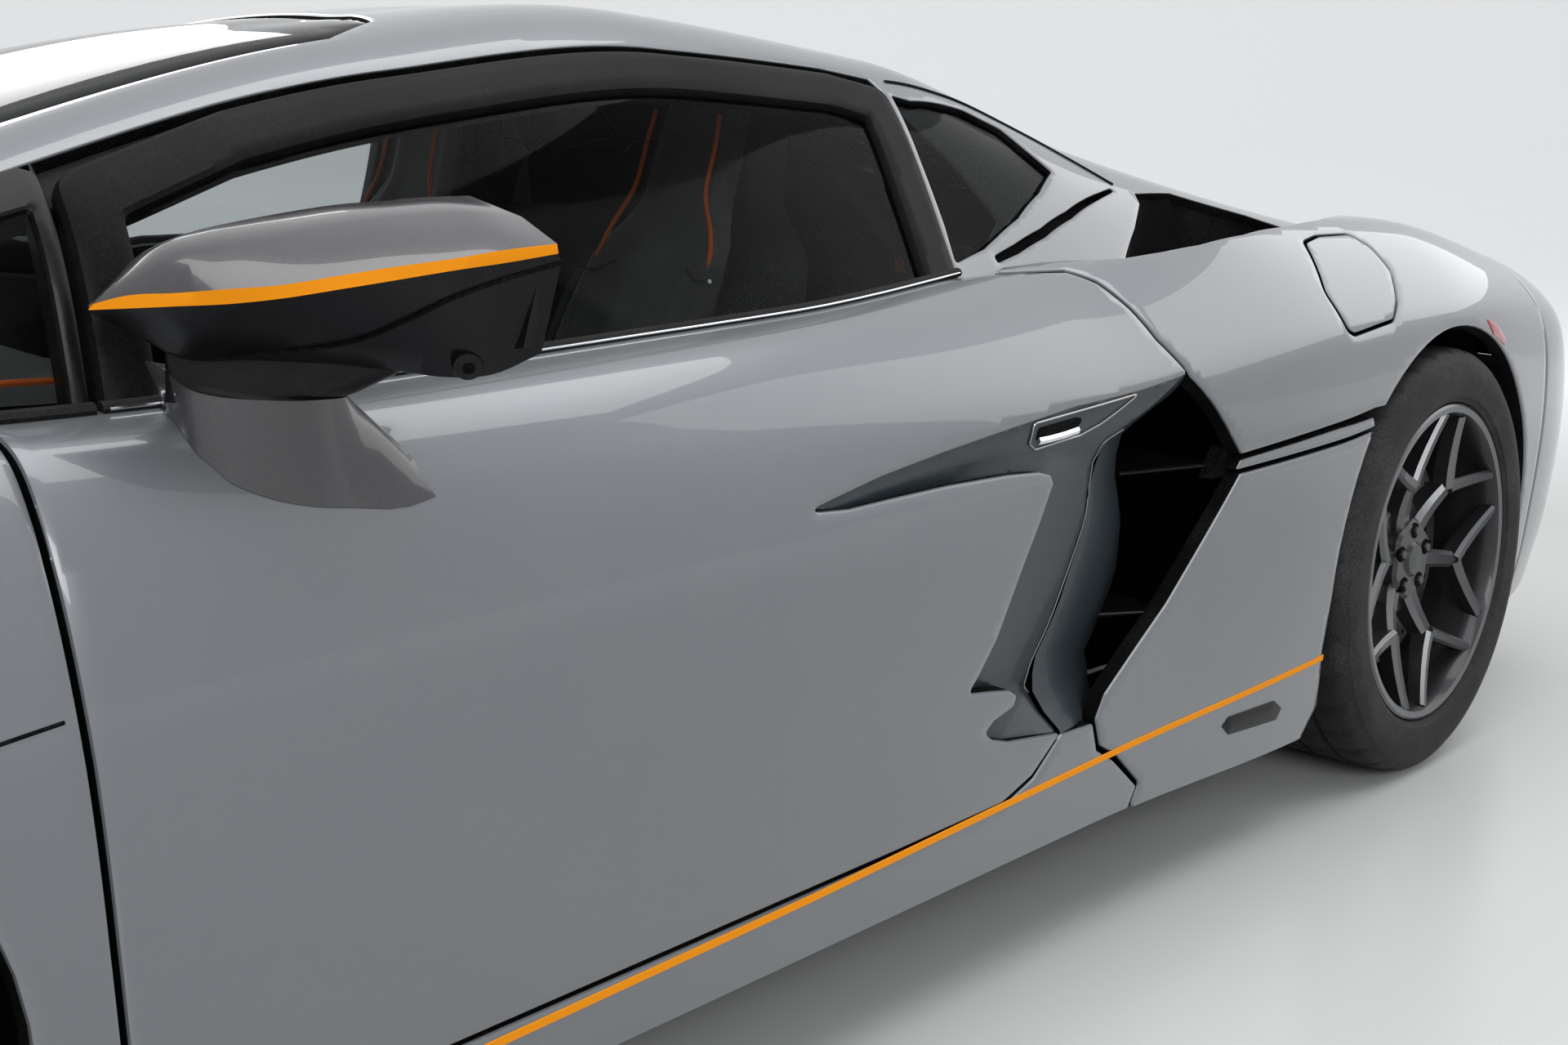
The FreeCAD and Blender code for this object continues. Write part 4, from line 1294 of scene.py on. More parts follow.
@dataclass
class Skins:
    """The painted panels of the lower body and the cabin.

    Args:
        shop: Makes the pieces.
        gap: The gap between panels, in millimetres.
    """

    shop: Workshop
    gap: float = 5.0

    def build(self) -> None:
        """Build all panels."""
        self.doors()
        self.fenders()
        self.quarters()
        self.sills()
        self.nose()
        self.roof()
        self.lids()
        self.tail()
        self.arch_liners()

    def skin(
        self, name: str, mesh: MeshData, body: Body = Body.CHASSIS, node: str = "", look: Look = Look.PAINT
    ) -> None:
        """Add one panel on each side of the car, for the nodes of that name.

        Args:
            name: The pieces' name without its side.
            mesh: The mesh of the right-hand piece.
            body: The moving body that it rides on.
            node: The node that it stands for, without its side.
            look: The finish of its face; its flange takes painted shade black.
        """
        self.shop.pair(name, mesh, [look, Look.SHADOW], body, node)

    def doors(self) -> None:
        """Build the door skins and the hollow in them that leads to the intake."""
        outline = np.concatenate([side_points(DOOR_FRONT), DOOR_TOP, HOLLOW_UPPER, HOLLOW_LOWER, HOLLOW_FOOT,
                                  DOOR_FOOT])
        self.skin("door_skin", Panel(BODY, outline, radius=5, grid=13).build(), Body.DOOR, "door")
        hollow = np.concatenate([HOLLOW_UPPER, HOLLOW_LOWER, HOLLOW_FOOT]).astype(float)
        around = np.concatenate([hollow, HOLLOW_REAR])
        grown = inset_outline(around, -5.0)[: len(hollow)]
        outline = np.concatenate([grown, HOLLOW_REAR])
        mesh = Panel(BODY, outline, radius=3, edge=2.5, flange=14, grid=9, relief=hollow_depth,
                     in_spots=True).build()
        # The hollow's face takes the darkened paint, painted shade for the recess
        self.skin("door_hollow", mesh, Body.DOOR, "", Look.SHADED_PAINT)
        line = blended([(x, v, 0) for x, v in HOLLOW_REAR[2:13]], 5)[:, :2]
        depth = (hollow_depth(line) - 0.6)[:, None]
        edge = swept(BODY.points(line[:, 0], line[:, 1]) - BODY.normals(line[:, 0], line[:, 1]) * depth,
                     radius=1.1, sides=6)
        self.skin("door_rear_edge", edge, Body.DOOR)
        self.jamb("front_door_jamb", side_points([(x - 3, z) for x, z in DOOR_FRONT]))
        self.jamb("rear_door_jamb", np.array([(x + 3, v) for x, v in DOOR_TOP[5:]], float))

    def jamb(self, name: str, line: np.ndarray, width: float = 16.0, depth: float = 24.0) -> None:
        """Add a strip of painted shade black behind a gap, fixed to the shell.

        Args:
            name: The piece's name.
            line: The middle of the gap, in the skin's x and v.
            width: Half the width of the strip.
            depth: How far it lies below the skin.
        """
        x, v = line[:, 0], line[:, 1]
        along = np.gradient(line, axis=0)
        along /= np.linalg.norm(along, axis=1)[:, None]
        side = np.column_stack([-along[:, 1], along[:, 0]]) * width
        rows = []
        for shift in (-1, 1):
            xs, vs = x + side[:, 0] * shift, v + side[:, 1] * shift
            rows.append(BODY.points(xs, vs) - BODY.normals(xs, vs) * depth)
        mesh = grid_mesh(np.stack(rows)).both()
        self.shop.add(name, mesh, [Look.SHADOW])

    def fenders(self) -> None:
        """Build the front fenders."""
        shut = [(x - self.gap, z) for x, z in DOOR_FRONT]
        top = [(-1000, 842), (-1110, 790), (-1156, 706), (-1243, 713), (-1500, 710), (-1720, 705),
               (-1787, 677)]
        arch = arc(FRONT_HUB, radius=376, start=163, end=-18, count=30)
        outline = np.concatenate([side_points(shut), plan_points([(-829, 852)]), plan_points(top),
                                  side_points([(-1790, 660), (-1606, 458)]), side_points(arch),
                                  side_points([(-868, 232)])])
        self.skin("fender_skin", Panel(BODY, outline, radius=5, grid=16).build(), Body.CHASSIS, "fender")
        x = np.linspace(-829, -899, 10)
        v = np.interp(x, (-899, -829), (452, 460))
        self.skin("fender_seam", swept(BODY.points(x, v), radius=1.6, sides=6), look=Look.SHADOW)

    def quarters(self) -> None:
        """Build the rear quarters: the haunch, the blade and the skirt."""
        arch = arc(REAR_HUB, radius=400, start=133.5, end=-22, count=34)
        front = [(421, 801), (472, 783), (529, 764), (557, 730), (573, 680), (583, 634), (613, 582),
                 (616, 574)]
        top = [(x, CREST_V + 150) for x in (1876, 1700, 1540)] + list(TROUGH_EDGE)[::-1]
        top += [(600, 766), (520, 800), (455, 812)]
        upper = np.concatenate([front, side_points([(733, 619), (1104, 653)]), side_points(arch),
                                side_points([(1876, 214)]), np.array(top, float)])
        hole = rounded_outline(FUEL_FLAP, radius=22, step=10)
        mesh = Panel(BODY, upper, radius=5, grid=15, openings=[inset_outline(hole, -4.5)], lip=2.5).build()
        self.skin("quarter_skin", mesh, Body.CHASSIS, "quarter")
        skirt = [(535, 154), (551, 189), (489, 243), (448, 267), (433, 306), (450, 336), (577, 434),
                 (735, 592), (1106, 618)]
        skirt += arc(REAR_HUB, radius=400, start=141, end=179, count=8)
        skirt += [(1006, 290), (1024, 196), (990, 148)]
        self.skin("skirt_skin", Panel(BODY, side_points(skirt), radius=8, grid=14).build())
        blade = [(724, 598), (1112, 625), (1106, 639), (1000, 632), (736, 611)]
        mesh = Panel(BODY, side_points(blade), radius=2, edge=2.0, flange=40, grid=12, lift=-2).build()
        self.skin("side_blade", mesh)
        # A strip of painted shade black behind the blade's gaps
        strip = [(700, 585), (1110, 610), (1104, 655), (1000, 648), (726, 626)]
        mesh = Panel(BODY, side_points(strip), radius=2, edge=2.0, flange=20, grid=30, lift=-24).build()
        self.skin("blade_gap", mesh, look=Look.SHADOW)
        flap = Panel(BODY, inset_outline(hole, 0.5), radius=2, edge=1.2, flange=1.5, grid=12).build()
        self.shop.add("fuel_flap_skin", flap.mirrored(), PAINTED, Body.FUEL_FLAP.value,
                      ["fuel_flap"])
        self.shop.add("blank_flap_skin", flap, PAINTED)
        badge = [(741, 74), (756, 86), (877, 86), (903, 70), (893, 54), (762, 58)]
        mesh = Panel(BODY, np.array(badge, float), radius=2, edge=1.2, flange=2, grid=14, lift=1.6).build()
        self.shop.add("blank_side_badges", mesh.both(), [Look.BLACK])
        marker = [(1530, 562), (1575, 552), (1618, 522), (1612, 510), (1553, 531)]
        mesh = Panel(BODY, np.array(marker, float), radius=3, edge=1.2, flange=2, grid=12, lift=1.4).build()
        self.shop.add("side_marker_lamps", mesh.both(), [Look.TAIL])
        # A pan of painted shade black behind the flap's gap
        pan = Panel(BODY, inset_outline(hole, -16), radius=2, edge=2.0, flange=4, grid=20, lift=-38).build()
        self.shop.add("fuel_flap_pan", pan.both(), [Look.SHADOW])

    def sills(self) -> None:
        """Build the sills under the doors and the stripes along them."""
        sill = [(-880, 158), (-880, 226), (-796, 226), (60, 234), (247, 238), (306, 259), (358, 304),
                (426, 302), (440, 263), (481, 239), (544, 187), (529, 158)]
        mesh = Panel(BODY, side_points(sill), radius=4, grid=13).build()
        self.shop.add("sill_skins", mesh.both(), PAINTED, nodes=["side_sills"])
        line = np.array([(-868, 208), (-478, 218), (-83, 227), (469, 250), (750, 264), (1008, 279)], float)
        x = np.concatenate([np.linspace(-868, 460, 90), np.linspace(468, 1008, 33)])
        z = np.interp(x, line[:, 0], line[:, 1])
        rows = []
        for shift, lift in ((-4.8, 0.2), (-4.2, 1.0), (4.2, 1.0), (4.8, 0.2)):
            skin = side_points(np.column_stack([x, z + shift]))
            rows.append(BODY.points(skin[:, 0], skin[:, 1]) + BODY.normals(skin[:, 0], skin[:, 1]) * lift)
        self.shop.add("sill_stripes", grid_mesh(np.stack(rows)).both(), [Look.STRIPE])

    def nose(self) -> None:
        """Build the front bumper with its lamps and intakes."""
        arch = arc(FRONT_HUB, radius=376, start=201, end=164, count=8)
        edge = side_points([(-1594, 146)] + arch + [(-1611, 460), (-1795, 662)])
        hood = plan_points([(-1797, 682), (-1914, 627), (-2046, 364), (-2066, 0)])
        bottom = [(-2353, CENTRE_V), (-2353, 900), (-2353, 500), (-2353, 0), (-2000, 0)]
        half = np.concatenate([np.array(bottom), edge, hood])
        half = np.concatenate([half[:1], half[1:-1], [[-2066, CENTRE_V]]])
        lamp = plan_points(HEADLAMP)
        outline = whole_width(half, BODY)
        mesh = Panel(BODY, outline, radius=4, grid=20, openings=mirrored_pair(lamp, BODY)).build()
        self.shop.add("nose_skin", mesh, PAINTED, nodes=["front_bumper"])
        vent = side_points([(-2222, 285), (-2112, 285), (-2112, 415), (-2222, 415)])
        mesh = Panel(BODY, vent, radius=10, edge=2.5, flange=6, grid=14, lift=9).build()
        self.shop.add("nose_side_vents", mesh.both(), [Look.BLACK])
        bowl = Panel(BODY, inset_outline(lamp, -6), radius=3, edge=2.0, flange=4, grid=22,
                     lift=-26).build().both()
        self.shop.add("headlamp_bowls", bowl, [Look.BLACK], nodes=["headlamps"])
        lens = Panel(BODY, inset_outline(lamp, 3), radius=3, edge=2.0, flange=6, grid=16,
                     lift=-2).build().both()
        self.shop.add("headlamp_lenses", lens, [Look.GLASS])
        guide = blended([(-2105, 570), (-2085, 630), (-2000, 695), (-1920, 752)], 8)
        skin = plan_points(guide)
        path = BODY.points(skin[:, 0], skin[:, 1]) - BODY.normals(skin[:, 0], skin[:, 1]) * 14
        self.shop.add("headlamp_guides", swept(path, radius=5).both(), [Look.LAMP_GLOW])
        face = EndFace(-HALF_LENGTH * 1000, NOSE_PLAN_R * 1000)
        shape = face.whole(BODY_ROWS[0])
        intakes = [[(240, 205), (560, 215), (636, 320), (560, 395), (330, 380), (250, 300)]]
        intakes.append([(-y, z) for y, z in intakes[0]][::-1])
        intakes.append([(-190, 210), (190, 210), (200, 300), (-200, 300)])
        mesh = Panel(face, shape, radius=2, edge=4.0, flange=22, grid=22,
                     openings=[np.array(one, float) for one in intakes]).build()
        self.shop.add("nose_face", mesh, PAINTED)
        bars = [
            grid_mesh(face.box_rows(sign * 250, sign * 630, z, 8, 40), close_v=True, caps=True)
            for sign in (-1, 1) for z in (250, 300, 345)
        ]
        self.shop.add("nose_grilles", merged(bars), [Look.BLACK], solid=True)
        for node in ("splitter", "diffuser"):
            self.shop.dress(node, Look.PLASTIC)

    def roof(self) -> None:
        """Build the roof with its pillars and the deck that runs back beside the engine lid."""
        gap = side_points(SIDE_GAP[:-1], CANOPY)
        rear = np.array([(378, 392), (386, 372), (380, 250), (372, 150), (366, 62)], float)
        inner = plan_points([(1745, 556), (1690, 556), (1200, 516), (728, 477), (654, 333), (654, 0)], CANOPY)
        front = [(-1262, CANOPY.vs[-1]), (-1262, 600), (-1262, 410), (-1180, 380)]
        half = np.concatenate([np.array(front), gap, rear, DECK_SIDE, np.array([(1600, 150.0), (1745, 90.0)]),
                               inner])
        half[-1, 1] = CANOPY.vs[-1]
        screen = plan_points(WINDSCREEN, CANOPY)
        screen[[0, -1], 1] = CANOPY.vs[-1]
        whole = whole_width(screen, CANOPY)
        holes = [whole]
        pane, groove = np.array(QUARTER_PANE, float), np.array(BUTTRESS_LINE, float)
        for hole in (pane, groove):
            holes += mirrored_pair(hole, CANOPY)
        mesh = Panel(CANOPY, whole_width(half, CANOPY), radius=4, edge=1.8, flange=14, grid=14,
                     openings=holes).build()
        self.shop.add("roof_skin", mesh, PAINTED, nodes=["roof_frame"])
        glass = Panel(CANOPY, inset_outline(whole, 4), radius=20, edge=2.0, flange=5, grid=30,
                      lift=-3).build()
        self.shop.add("windscreen_glass", glass, [Look.GLASS], nodes=["windshield"])
        band = Panel(CANOPY, inset_outline(whole, 1), radius=20, edge=2.0, flange=5, grid=24, lift=-8,
                     openings=[inset_outline(whole, 42)]).build()
        self.shop.add("windscreen_band", band, [Look.BLACK])
        glass = Panel(CANOPY, inset_outline(pane, -2), radius=8, edge=2.0, flange=5, grid=14, lift=-8).build()
        self.shop.add("quarter_panes", glass.both(), [Look.GLASS], nodes=["quarter_glass"])
        cover = Panel(CANOPY, np.array(DARK_PANE, float), radius=5, edge=2.0, flange=5, grid=14,
                      lift=-13).build()
        self.shop.add("quarter_pane_blinds", cover.both(), [Look.BLACK])
        # Beds of painted shade black behind the buttress grooves
        bed = Panel(CANOPY, inset_outline(groove, -10), radius=2, edge=2.0, flange=4, grid=20,
                    lift=-20).build()
        self.shop.add("buttress_groove_beds", bed.both(), [Look.SHADOW])
        seam = np.array([(412, 392), (507, 398), (600, 412), (700, 410), (760, 380), (833, 314)], float)
        line = blended(seam, 6)
        path = CANOPY.points(line[:, 0], line[:, 1])
        self.shop.add("roof_side_seams", swept(path, radius=2.6, sides=6).both(), [Look.SHADOW])

    def lids(self) -> None:
        """Build the hood and the louvred engine lid."""
        half = plan_points(HOOD)
        half[[0, -1], 1] = CENTRE_V
        mesh = Panel(BODY, whole_width(half, BODY), radius=10, grid=20, relief=hood_creases).build()
        self.shop.add("hood_skin", mesh, PAINTED, Body.HOOD.value, ["hood"])
        cowl = plan_points([(-1268, 0), (-1256, 302), (-1221, 522), (-1164, 706), (-1110, 780), (-1010, 834),
                            (-1000, 640), (-1100, 400), (-1130, 0)])
        cowl[[0, -1], 1] = CENTRE_V
        mesh = Panel(BODY, whole_width(cowl, BODY), radius=4, edge=2.0, flange=8, grid=30, lift=-6).build()
        self.shop.add("cowl_panel", mesh, [Look.PLASTIC])
        half = plan_points(ENGINE_LID, CANOPY)
        half[[0, -1], 1] = CANOPY.vs[-1]
        slots = []
        for x in np.arange(790, 1460, 92):
            slot = plan_points([(x, 300), (x + 46, 300), (x + 46, 10), (x, 10)], CANOPY)
            slots += mirrored_pair(slot, CANOPY)
        mesh = Panel(CANOPY, whole_width(half, CANOPY), radius=12, grid=20, openings=slots).build()
        self.shop.add("engine_lid_skin", mesh, PAINTED, Body.ENGINE_COVER.value, ["engine_cover"])
        blades = []
        for x in np.arange(776, 1460, 92):
            corners = [(x, -8), (x + 58, -26), (x + 60, -30), (x + 2, -12)]
            rows = []
            for y in np.linspace(-306, 306, 13):
                v = CANOPY.locate(View.PLAN, np.full(4, x + 20.0), np.full(4, abs(y)))
                base = CANOPY.points(np.full(4, x + 20.0), v)[:, 2]
                rows.append([(cx, y, z + dz) for (cx, dz), z in zip(corners, base)])
            blades.append(grid_mesh(np.array(rows), close_v=True, caps=True))
        self.shop.add("engine_louvres", merged(blades), [Look.BLACK], Body.ENGINE_COVER.value, solid=True)

    def tail(self) -> None:
        """Build the rear bumper, the lamps and the tail's openings."""
        edge = side_points([(1884, 206), (1884, 400), (1884, 620), (1884, 780)])
        deck = [(1884, CREST_V + 156), (1751, CREST_V + 156), (1751, 1048), (1708, 1054), (1712, 1380),
                (1712, CENTRE_V)]
        half = np.concatenate([[(2353, CENTRE_V), (2353, 900), (2353, 500), (2353, 0), (2100, 0)], edge[:, :],
                               deck])
        mesh = Panel(BODY, whole_width(half, BODY), radius=4, grid=20).build()
        self.shop.add("tail_skin", mesh, PAINTED, nodes=["rear_bumper"])
        face = EndFace(HALF_LENGTH * 1000, TAIL_PLAN_R * 1000)
        lamp = [(430, 690), (540, 745), (820, 735), (848, 690), (800, 650), (560, 660)]
        lamps = [np.array(lamp, float), np.array([(-y, z) for y, z in lamp], float)[::-1]]
        half_hole = [(0, 470), (300, 440), (640, 420), (780, 500), (720, 600), (420, 640), (240, 620),
                     (0, 620)]
        hole = np.array(half_hole[1:-1] + [(-y, z) for y, z in half_hole[1:-1]][::-1], float)
        mesh = Panel(face, face.whole(BODY_ROWS[-1]), radius=2, edge=4.0, flange=30, grid=24,
                     openings=lamps + [hole]).build()
        self.shop.add("tail_face", mesh, PAINTED)
        lens = Panel(face, inset_outline(lamps[0], 2), radius=10, edge=3.0, flange=8, grid=14,
                     lift=-6).build().both()
        self.shop.add("tail_lamp_lenses", lens, [Look.TAIL], nodes=["tail_lamps"])
        gap = np.array([(-100, 500), (100, 500), (125, 560), (95, 608), (-95, 608), (-125, 560)], float)
        mesh = Panel(face, inset_outline(hole, -8), radius=10, edge=3.0, flange=8, grid=30, lift=-90,
                     openings=[gap]).build()
        self.shop.add("tail_mesh_panel", mesh, [Look.PLASTIC])
        self.shop.dress("exhaust", Look.STEEL)

    def arch_liners(self) -> None:
        """Build the dark liners inside the wheel arches."""
        for name, hub, radius, depth in (("front", FRONT_HUB, 384, 560), ("rear", REAR_HUB, 408, 640)):
            ring = np.array(arc(hub, radius=radius, start=-25, end=205, count=40))
            rows = np.stack([np.column_stack([ring[:, 0], np.full(40, y), ring[:, 1]])
                             for y in (depth, 800, 935)])
            wall = np.stack([rows[0], np.tile(np.array([hub[0], depth, hub[1]]), (40, 1))])
            mesh = grid_mesh(rows).joined(grid_mesh(wall)).both()
            self.shop.add(f"{name}_arch_liners", mesh, [Look.SHADOW])


def hood_creases(points: np.ndarray) -> np.ndarray:
    """Return the depth of the two long hollows in the hood, from its plan points.

    Args:
        points: Points on the hood, x and y first.

    Returns:
        The depth at each point.
    """
    x, y = points[:, 0], np.abs(points[:, 1])
    line = np.interp(x, (-2060, -1240), (170, 430))
    across = np.clip(1 - np.abs(y - line) / 95.0, 0, 1)
    along = np.clip((x + 2040) / 260, 0, 1) * np.clip((-1265 - x) / 120, 0, 1)
    return 11 * across**2 * (3 - 2 * across) * along


@dataclass
class Wheel:
    """A wheel with its tyre, spokes and brake disc, built about its own centre with +Y outwards.

    Args:
        name: Front or rear.
        body: The moving body that it belongs to.
        axle: Its centre on the right side, in metres.
        tyre_r: The radius of the tyre, in millimetres.
        half_w: Half the width of the tyre.
        rim_r: The radius of the rim's edge.
        spokes: How many forked spokes it has.
        hub_r: The radius of the hub.
        disc_r: The radius of the brake disc.
    """

    name: str
    body: Body
    axle: tuple[float, float, float]
    tyre_r: float
    half_w: float
    rim_r: float
    spokes: int = 6
    hub_r: float = 74.0
    disc_r: float = 192.0

    def build(self, shop: Workshop) -> None:
        """Build the wheel on both sides.

        Args:
            shop: Makes the pieces.
        """
        parts = (
            ("tyre_tread", self.tyre(), [Look.TYRE], "tyre", False),
            ("wheel_barrel", self.barrel(), [Look.SPOKE, Look.SPOKE_EDGE], "rim", False),
            ("wheel_spokes", self.spoke_set(), [Look.SPOKE, Look.SPOKE_EDGE], "", True),
            # The hub's bolt wells and the disc's shallow holes take painted shade black
            ("wheel_hub", self.hub(), [Look.SPOKE, Look.SHADOW], "", True),
            ("brake_disc", self.disc(), [Look.BRAKE, Look.SHADOW], "", True),
        )
        for label, mesh, looks, node, solid in parts:
            for side, sign in SIDES:
                placed = mesh.for_side(sign).moved(np.array(self.axle) * (1, sign, 1))
                nodes = [f"{node}_{self.name}_{side}"] if node else []
                shop.add(f"{label}_{self.name}_{side}", placed, looks, body_name(self.body, side), nodes,
                         WHEEL_ANGLE, solid)

    def tyre(self) -> MeshData:
        """Return the tyre with its grooves and sipes.

        Returns:
            The mesh.
        """
        r, h, b = self.tyre_r, self.half_w, self.rim_r
        wall = r - b
        side = [(b - 8, h - 26), (b + 3, h - 15), (b + 5, h - 10), (b + 12, h - 7), (b + 14, h - 4),
                (b + 0.45 * wall, h - 0.4), (b + 0.62 * wall, h - 1), (r - 22, h - 6), (r - 20, h - 9),
                (r - 10, h - 14), (r - 4, h - 22), (r - 1.2, h - 34)]
        tread: list[tuple[float, float]] = []
        for y in (0.52, 0.16):
            tread += [(r - 0.3, h * y + 9), (r - 0.6, h * y + 6), (r - 8, h * y + 5), (r - 8, h * y - 5),
                      (r - 0.3, h * y - 6), (r, h * y - 9)]
        half = side + tread
        profile = np.array(half + [(a, -y) for a, y in half][::-1], float)
        sides = 288
        angle = np.linspace(0, 2 * math.pi, sides, endpoint=False)
        radius = np.tile(profile[:, 0], (sides, 1))
        y = np.tile(profile[:, 1], (sides, 1))
        step = np.arange(sides)[:, None]
        skew = np.round(np.abs(y) * 0.05).astype(int)
        block = ((step + skew) % 8 == 0) & (radius > r - 12) & (radius > r - 7)
        radius = radius - 4.5 * block
        ridge = (radius > b + 0.3 * wall) & (radius < b + 0.75 * wall) & (step % 2 == 0)
        y = y - np.sign(y) * 0.5 * ridge
        rows = np.stack([radius * np.cos(angle)[:, None], y, radius * np.sin(angle)[:, None]], axis=-1)
        return grid_mesh(rows, close_u=True, close_v=True)

    def barrel(self) -> MeshData:
        """Return the rim's barrel and its lips.

        Returns:
            The mesh, with its turned edge in slot 1.
        """
        b, h = self.rim_r, self.half_w
        profile = [(b - 4, h - 20), (b, h - 15), (b + 1, h - 12), (b - 3, h - 9), (b - 13, h - 11),
                   (b - 17, h - 18),
                   (b - 22, h - 40), (b - 24, -h + 60), (b - 20, -h + 24), (b - 12, -h + 15), (b, -h + 14),
                   (b - 2, -h + 22), (b - 18, -h + 62), (b - 16, h - 44)]
        mesh = turned(profile, sides=120)
        slots = [1 if k % len(profile) in (2, 3) else 0 for k in range(len(mesh.faces))]
        return MeshData(mesh.points, mesh.faces, slots)

    def beam(self, start: np.ndarray, end: np.ndarray, wide: tuple[float, float], face: tuple[float, float],
             deep: tuple[float, float]) -> MeshData:
        """Return one tapered bar of a spoke with chamfered edges.

        Args:
            start: Its start in the wheel's plane.
            end: Its end in the wheel's plane.
            wide: Its widths at both ends.
            face: The y of its outer face at both ends.
            deep: Its depths at both ends.

        Returns:
            The bar, with its chamfers in slot 1.
        """
        along = (end - start) / np.linalg.norm(end - start)
        side = np.array([-along[1], along[0]])
        rows = []
        for t in np.linspace(0, 1, 5):
            centre = start + (end - start) * t
            w = wide[0] + (wide[1] - wide[0]) * t
            top = face[0] + (face[1] - face[0]) * t**1.6
            d = deep[0] + (deep[1] - deep[0]) * t
            c = 0.2 * w
            shape = ((-w / 2, -d), (-w / 2 - 1, -c * 1.6), (-w / 2 + c, 0), (w / 2 - c, 0),
                     (w / 2 + 1, -c * 1.6), (w / 2, -d))
            rows.append([(centre[0] + side[0] * a, top + b, centre[1] + side[1] * a) for a, b in shape])
        mesh = grid_mesh(np.array(rows), close_v=True, caps=True)
        slots = [1 if k < 24 and k % 6 in (1, 3) else 0 for k in range(len(mesh.faces))]
        return MeshData(mesh.points, mesh.faces, slots)

    def spoke_set(self) -> MeshData:
        """Return the forked spokes.

        Returns:
            The mesh.
        """
        fork, reach = 0.56 * self.rim_r, self.rim_r - 16
        face = (self.half_w - 62, self.half_w - 34, self.half_w - 15)
        bars: list[MeshData] = []
        for k in range(self.spokes):
            mid = math.radians(-8 + k * 360 / self.spokes)
            way = np.array([math.cos(mid), math.sin(mid)])
            bars.append(self.beam(way * 56, way * (fork + 6), (34, 25), (face[0], face[1]), (46, 34)))
            for turn in (-1, 1):
                far = mid + turn * math.radians(22)
                tip = np.array([math.cos(far), math.sin(far)]) * reach
                bars.append(self.beam(way * (fork - 4), tip, (21, 17), (face[1] - 0.5, face[2]), (32, 26)))
        return merged(bars)

    def hub(self) -> MeshData:
        """Return the hub with its bolt wells and its cap.

        Returns:
            The mesh, with its wells in slot 1, which takes painted shade black.
        """
        face = self.half_w - 60
        corners = [(self.hub_r * math.cos(math.radians(a)), self.hub_r * math.sin(math.radians(a)))
                   for a in range(22, 382, 60)]
        outline = rounded_outline(corners, radius=26, step=8)
        out = slab(outline, upright(face - 40), thick=44, bevel=6)
        cap = turned([(0.5, 10), (26, 9), (31, 4), (31, -20), (0.5, -20)], sides=36)
        out = out.joined(cap.moved(np.array([0, face * MM, 0])))
        for k in range(5):
            angle = math.radians(18 + 72 * k)
            at = np.array([50 * math.cos(angle), face + 4, 50 * math.sin(angle)]) * MM
            well = turned([(0.5, 0.6), (11, 0.6), (13, 1.6), (14, 0), (14, -8), (0.5, -8)], sides=20)
            out = out.joined(well.moved(at, 1))
            nut = turned([(0.5, 6), (7, 6), (8.5, 4), (8.5, -4), (0.5, -4)], sides=6)
            out = out.joined(nut.moved(at))
        return out

    def disc(self) -> MeshData:
        """Return the ventilated brake disc with its bell.

        Returns:
            The mesh, with its holes in slot 1, which takes painted shade black.
        """
        face = self.half_w - 100
        r = self.disc_r
        ring = turned([(112, 0), (r - 2, 0), (r, -2), (r, -9), (r - 14, -10), (r - 14, -17), (r, -18),
                       (r, -25),
                       (r - 2, -27), (112, -27)], sides=96)
        bell = turned([(60, 22), (96, 22), (100, 18), (112, -2), (112, -20), (60, -20)], sides=64)
        out = ring.joined(bell).moved(np.array([0, face * MM, 0]))
        for row, count, shift in ((130, 18, 0.0), (152, 18, 0.17), (174, 18, 0.34)):
            for k in range(count):
                angle = 2 * math.pi * k / count + shift
                at = np.array([row * math.cos(angle), face + 0.1, row * math.sin(angle)]) * MM
                hole = turned([(0.3, 0.3), (4.2, 0.3), (4.4, -2), (0.3, -2)], sides=8)
                out = out.joined(hole.moved(at, 1))
        return out


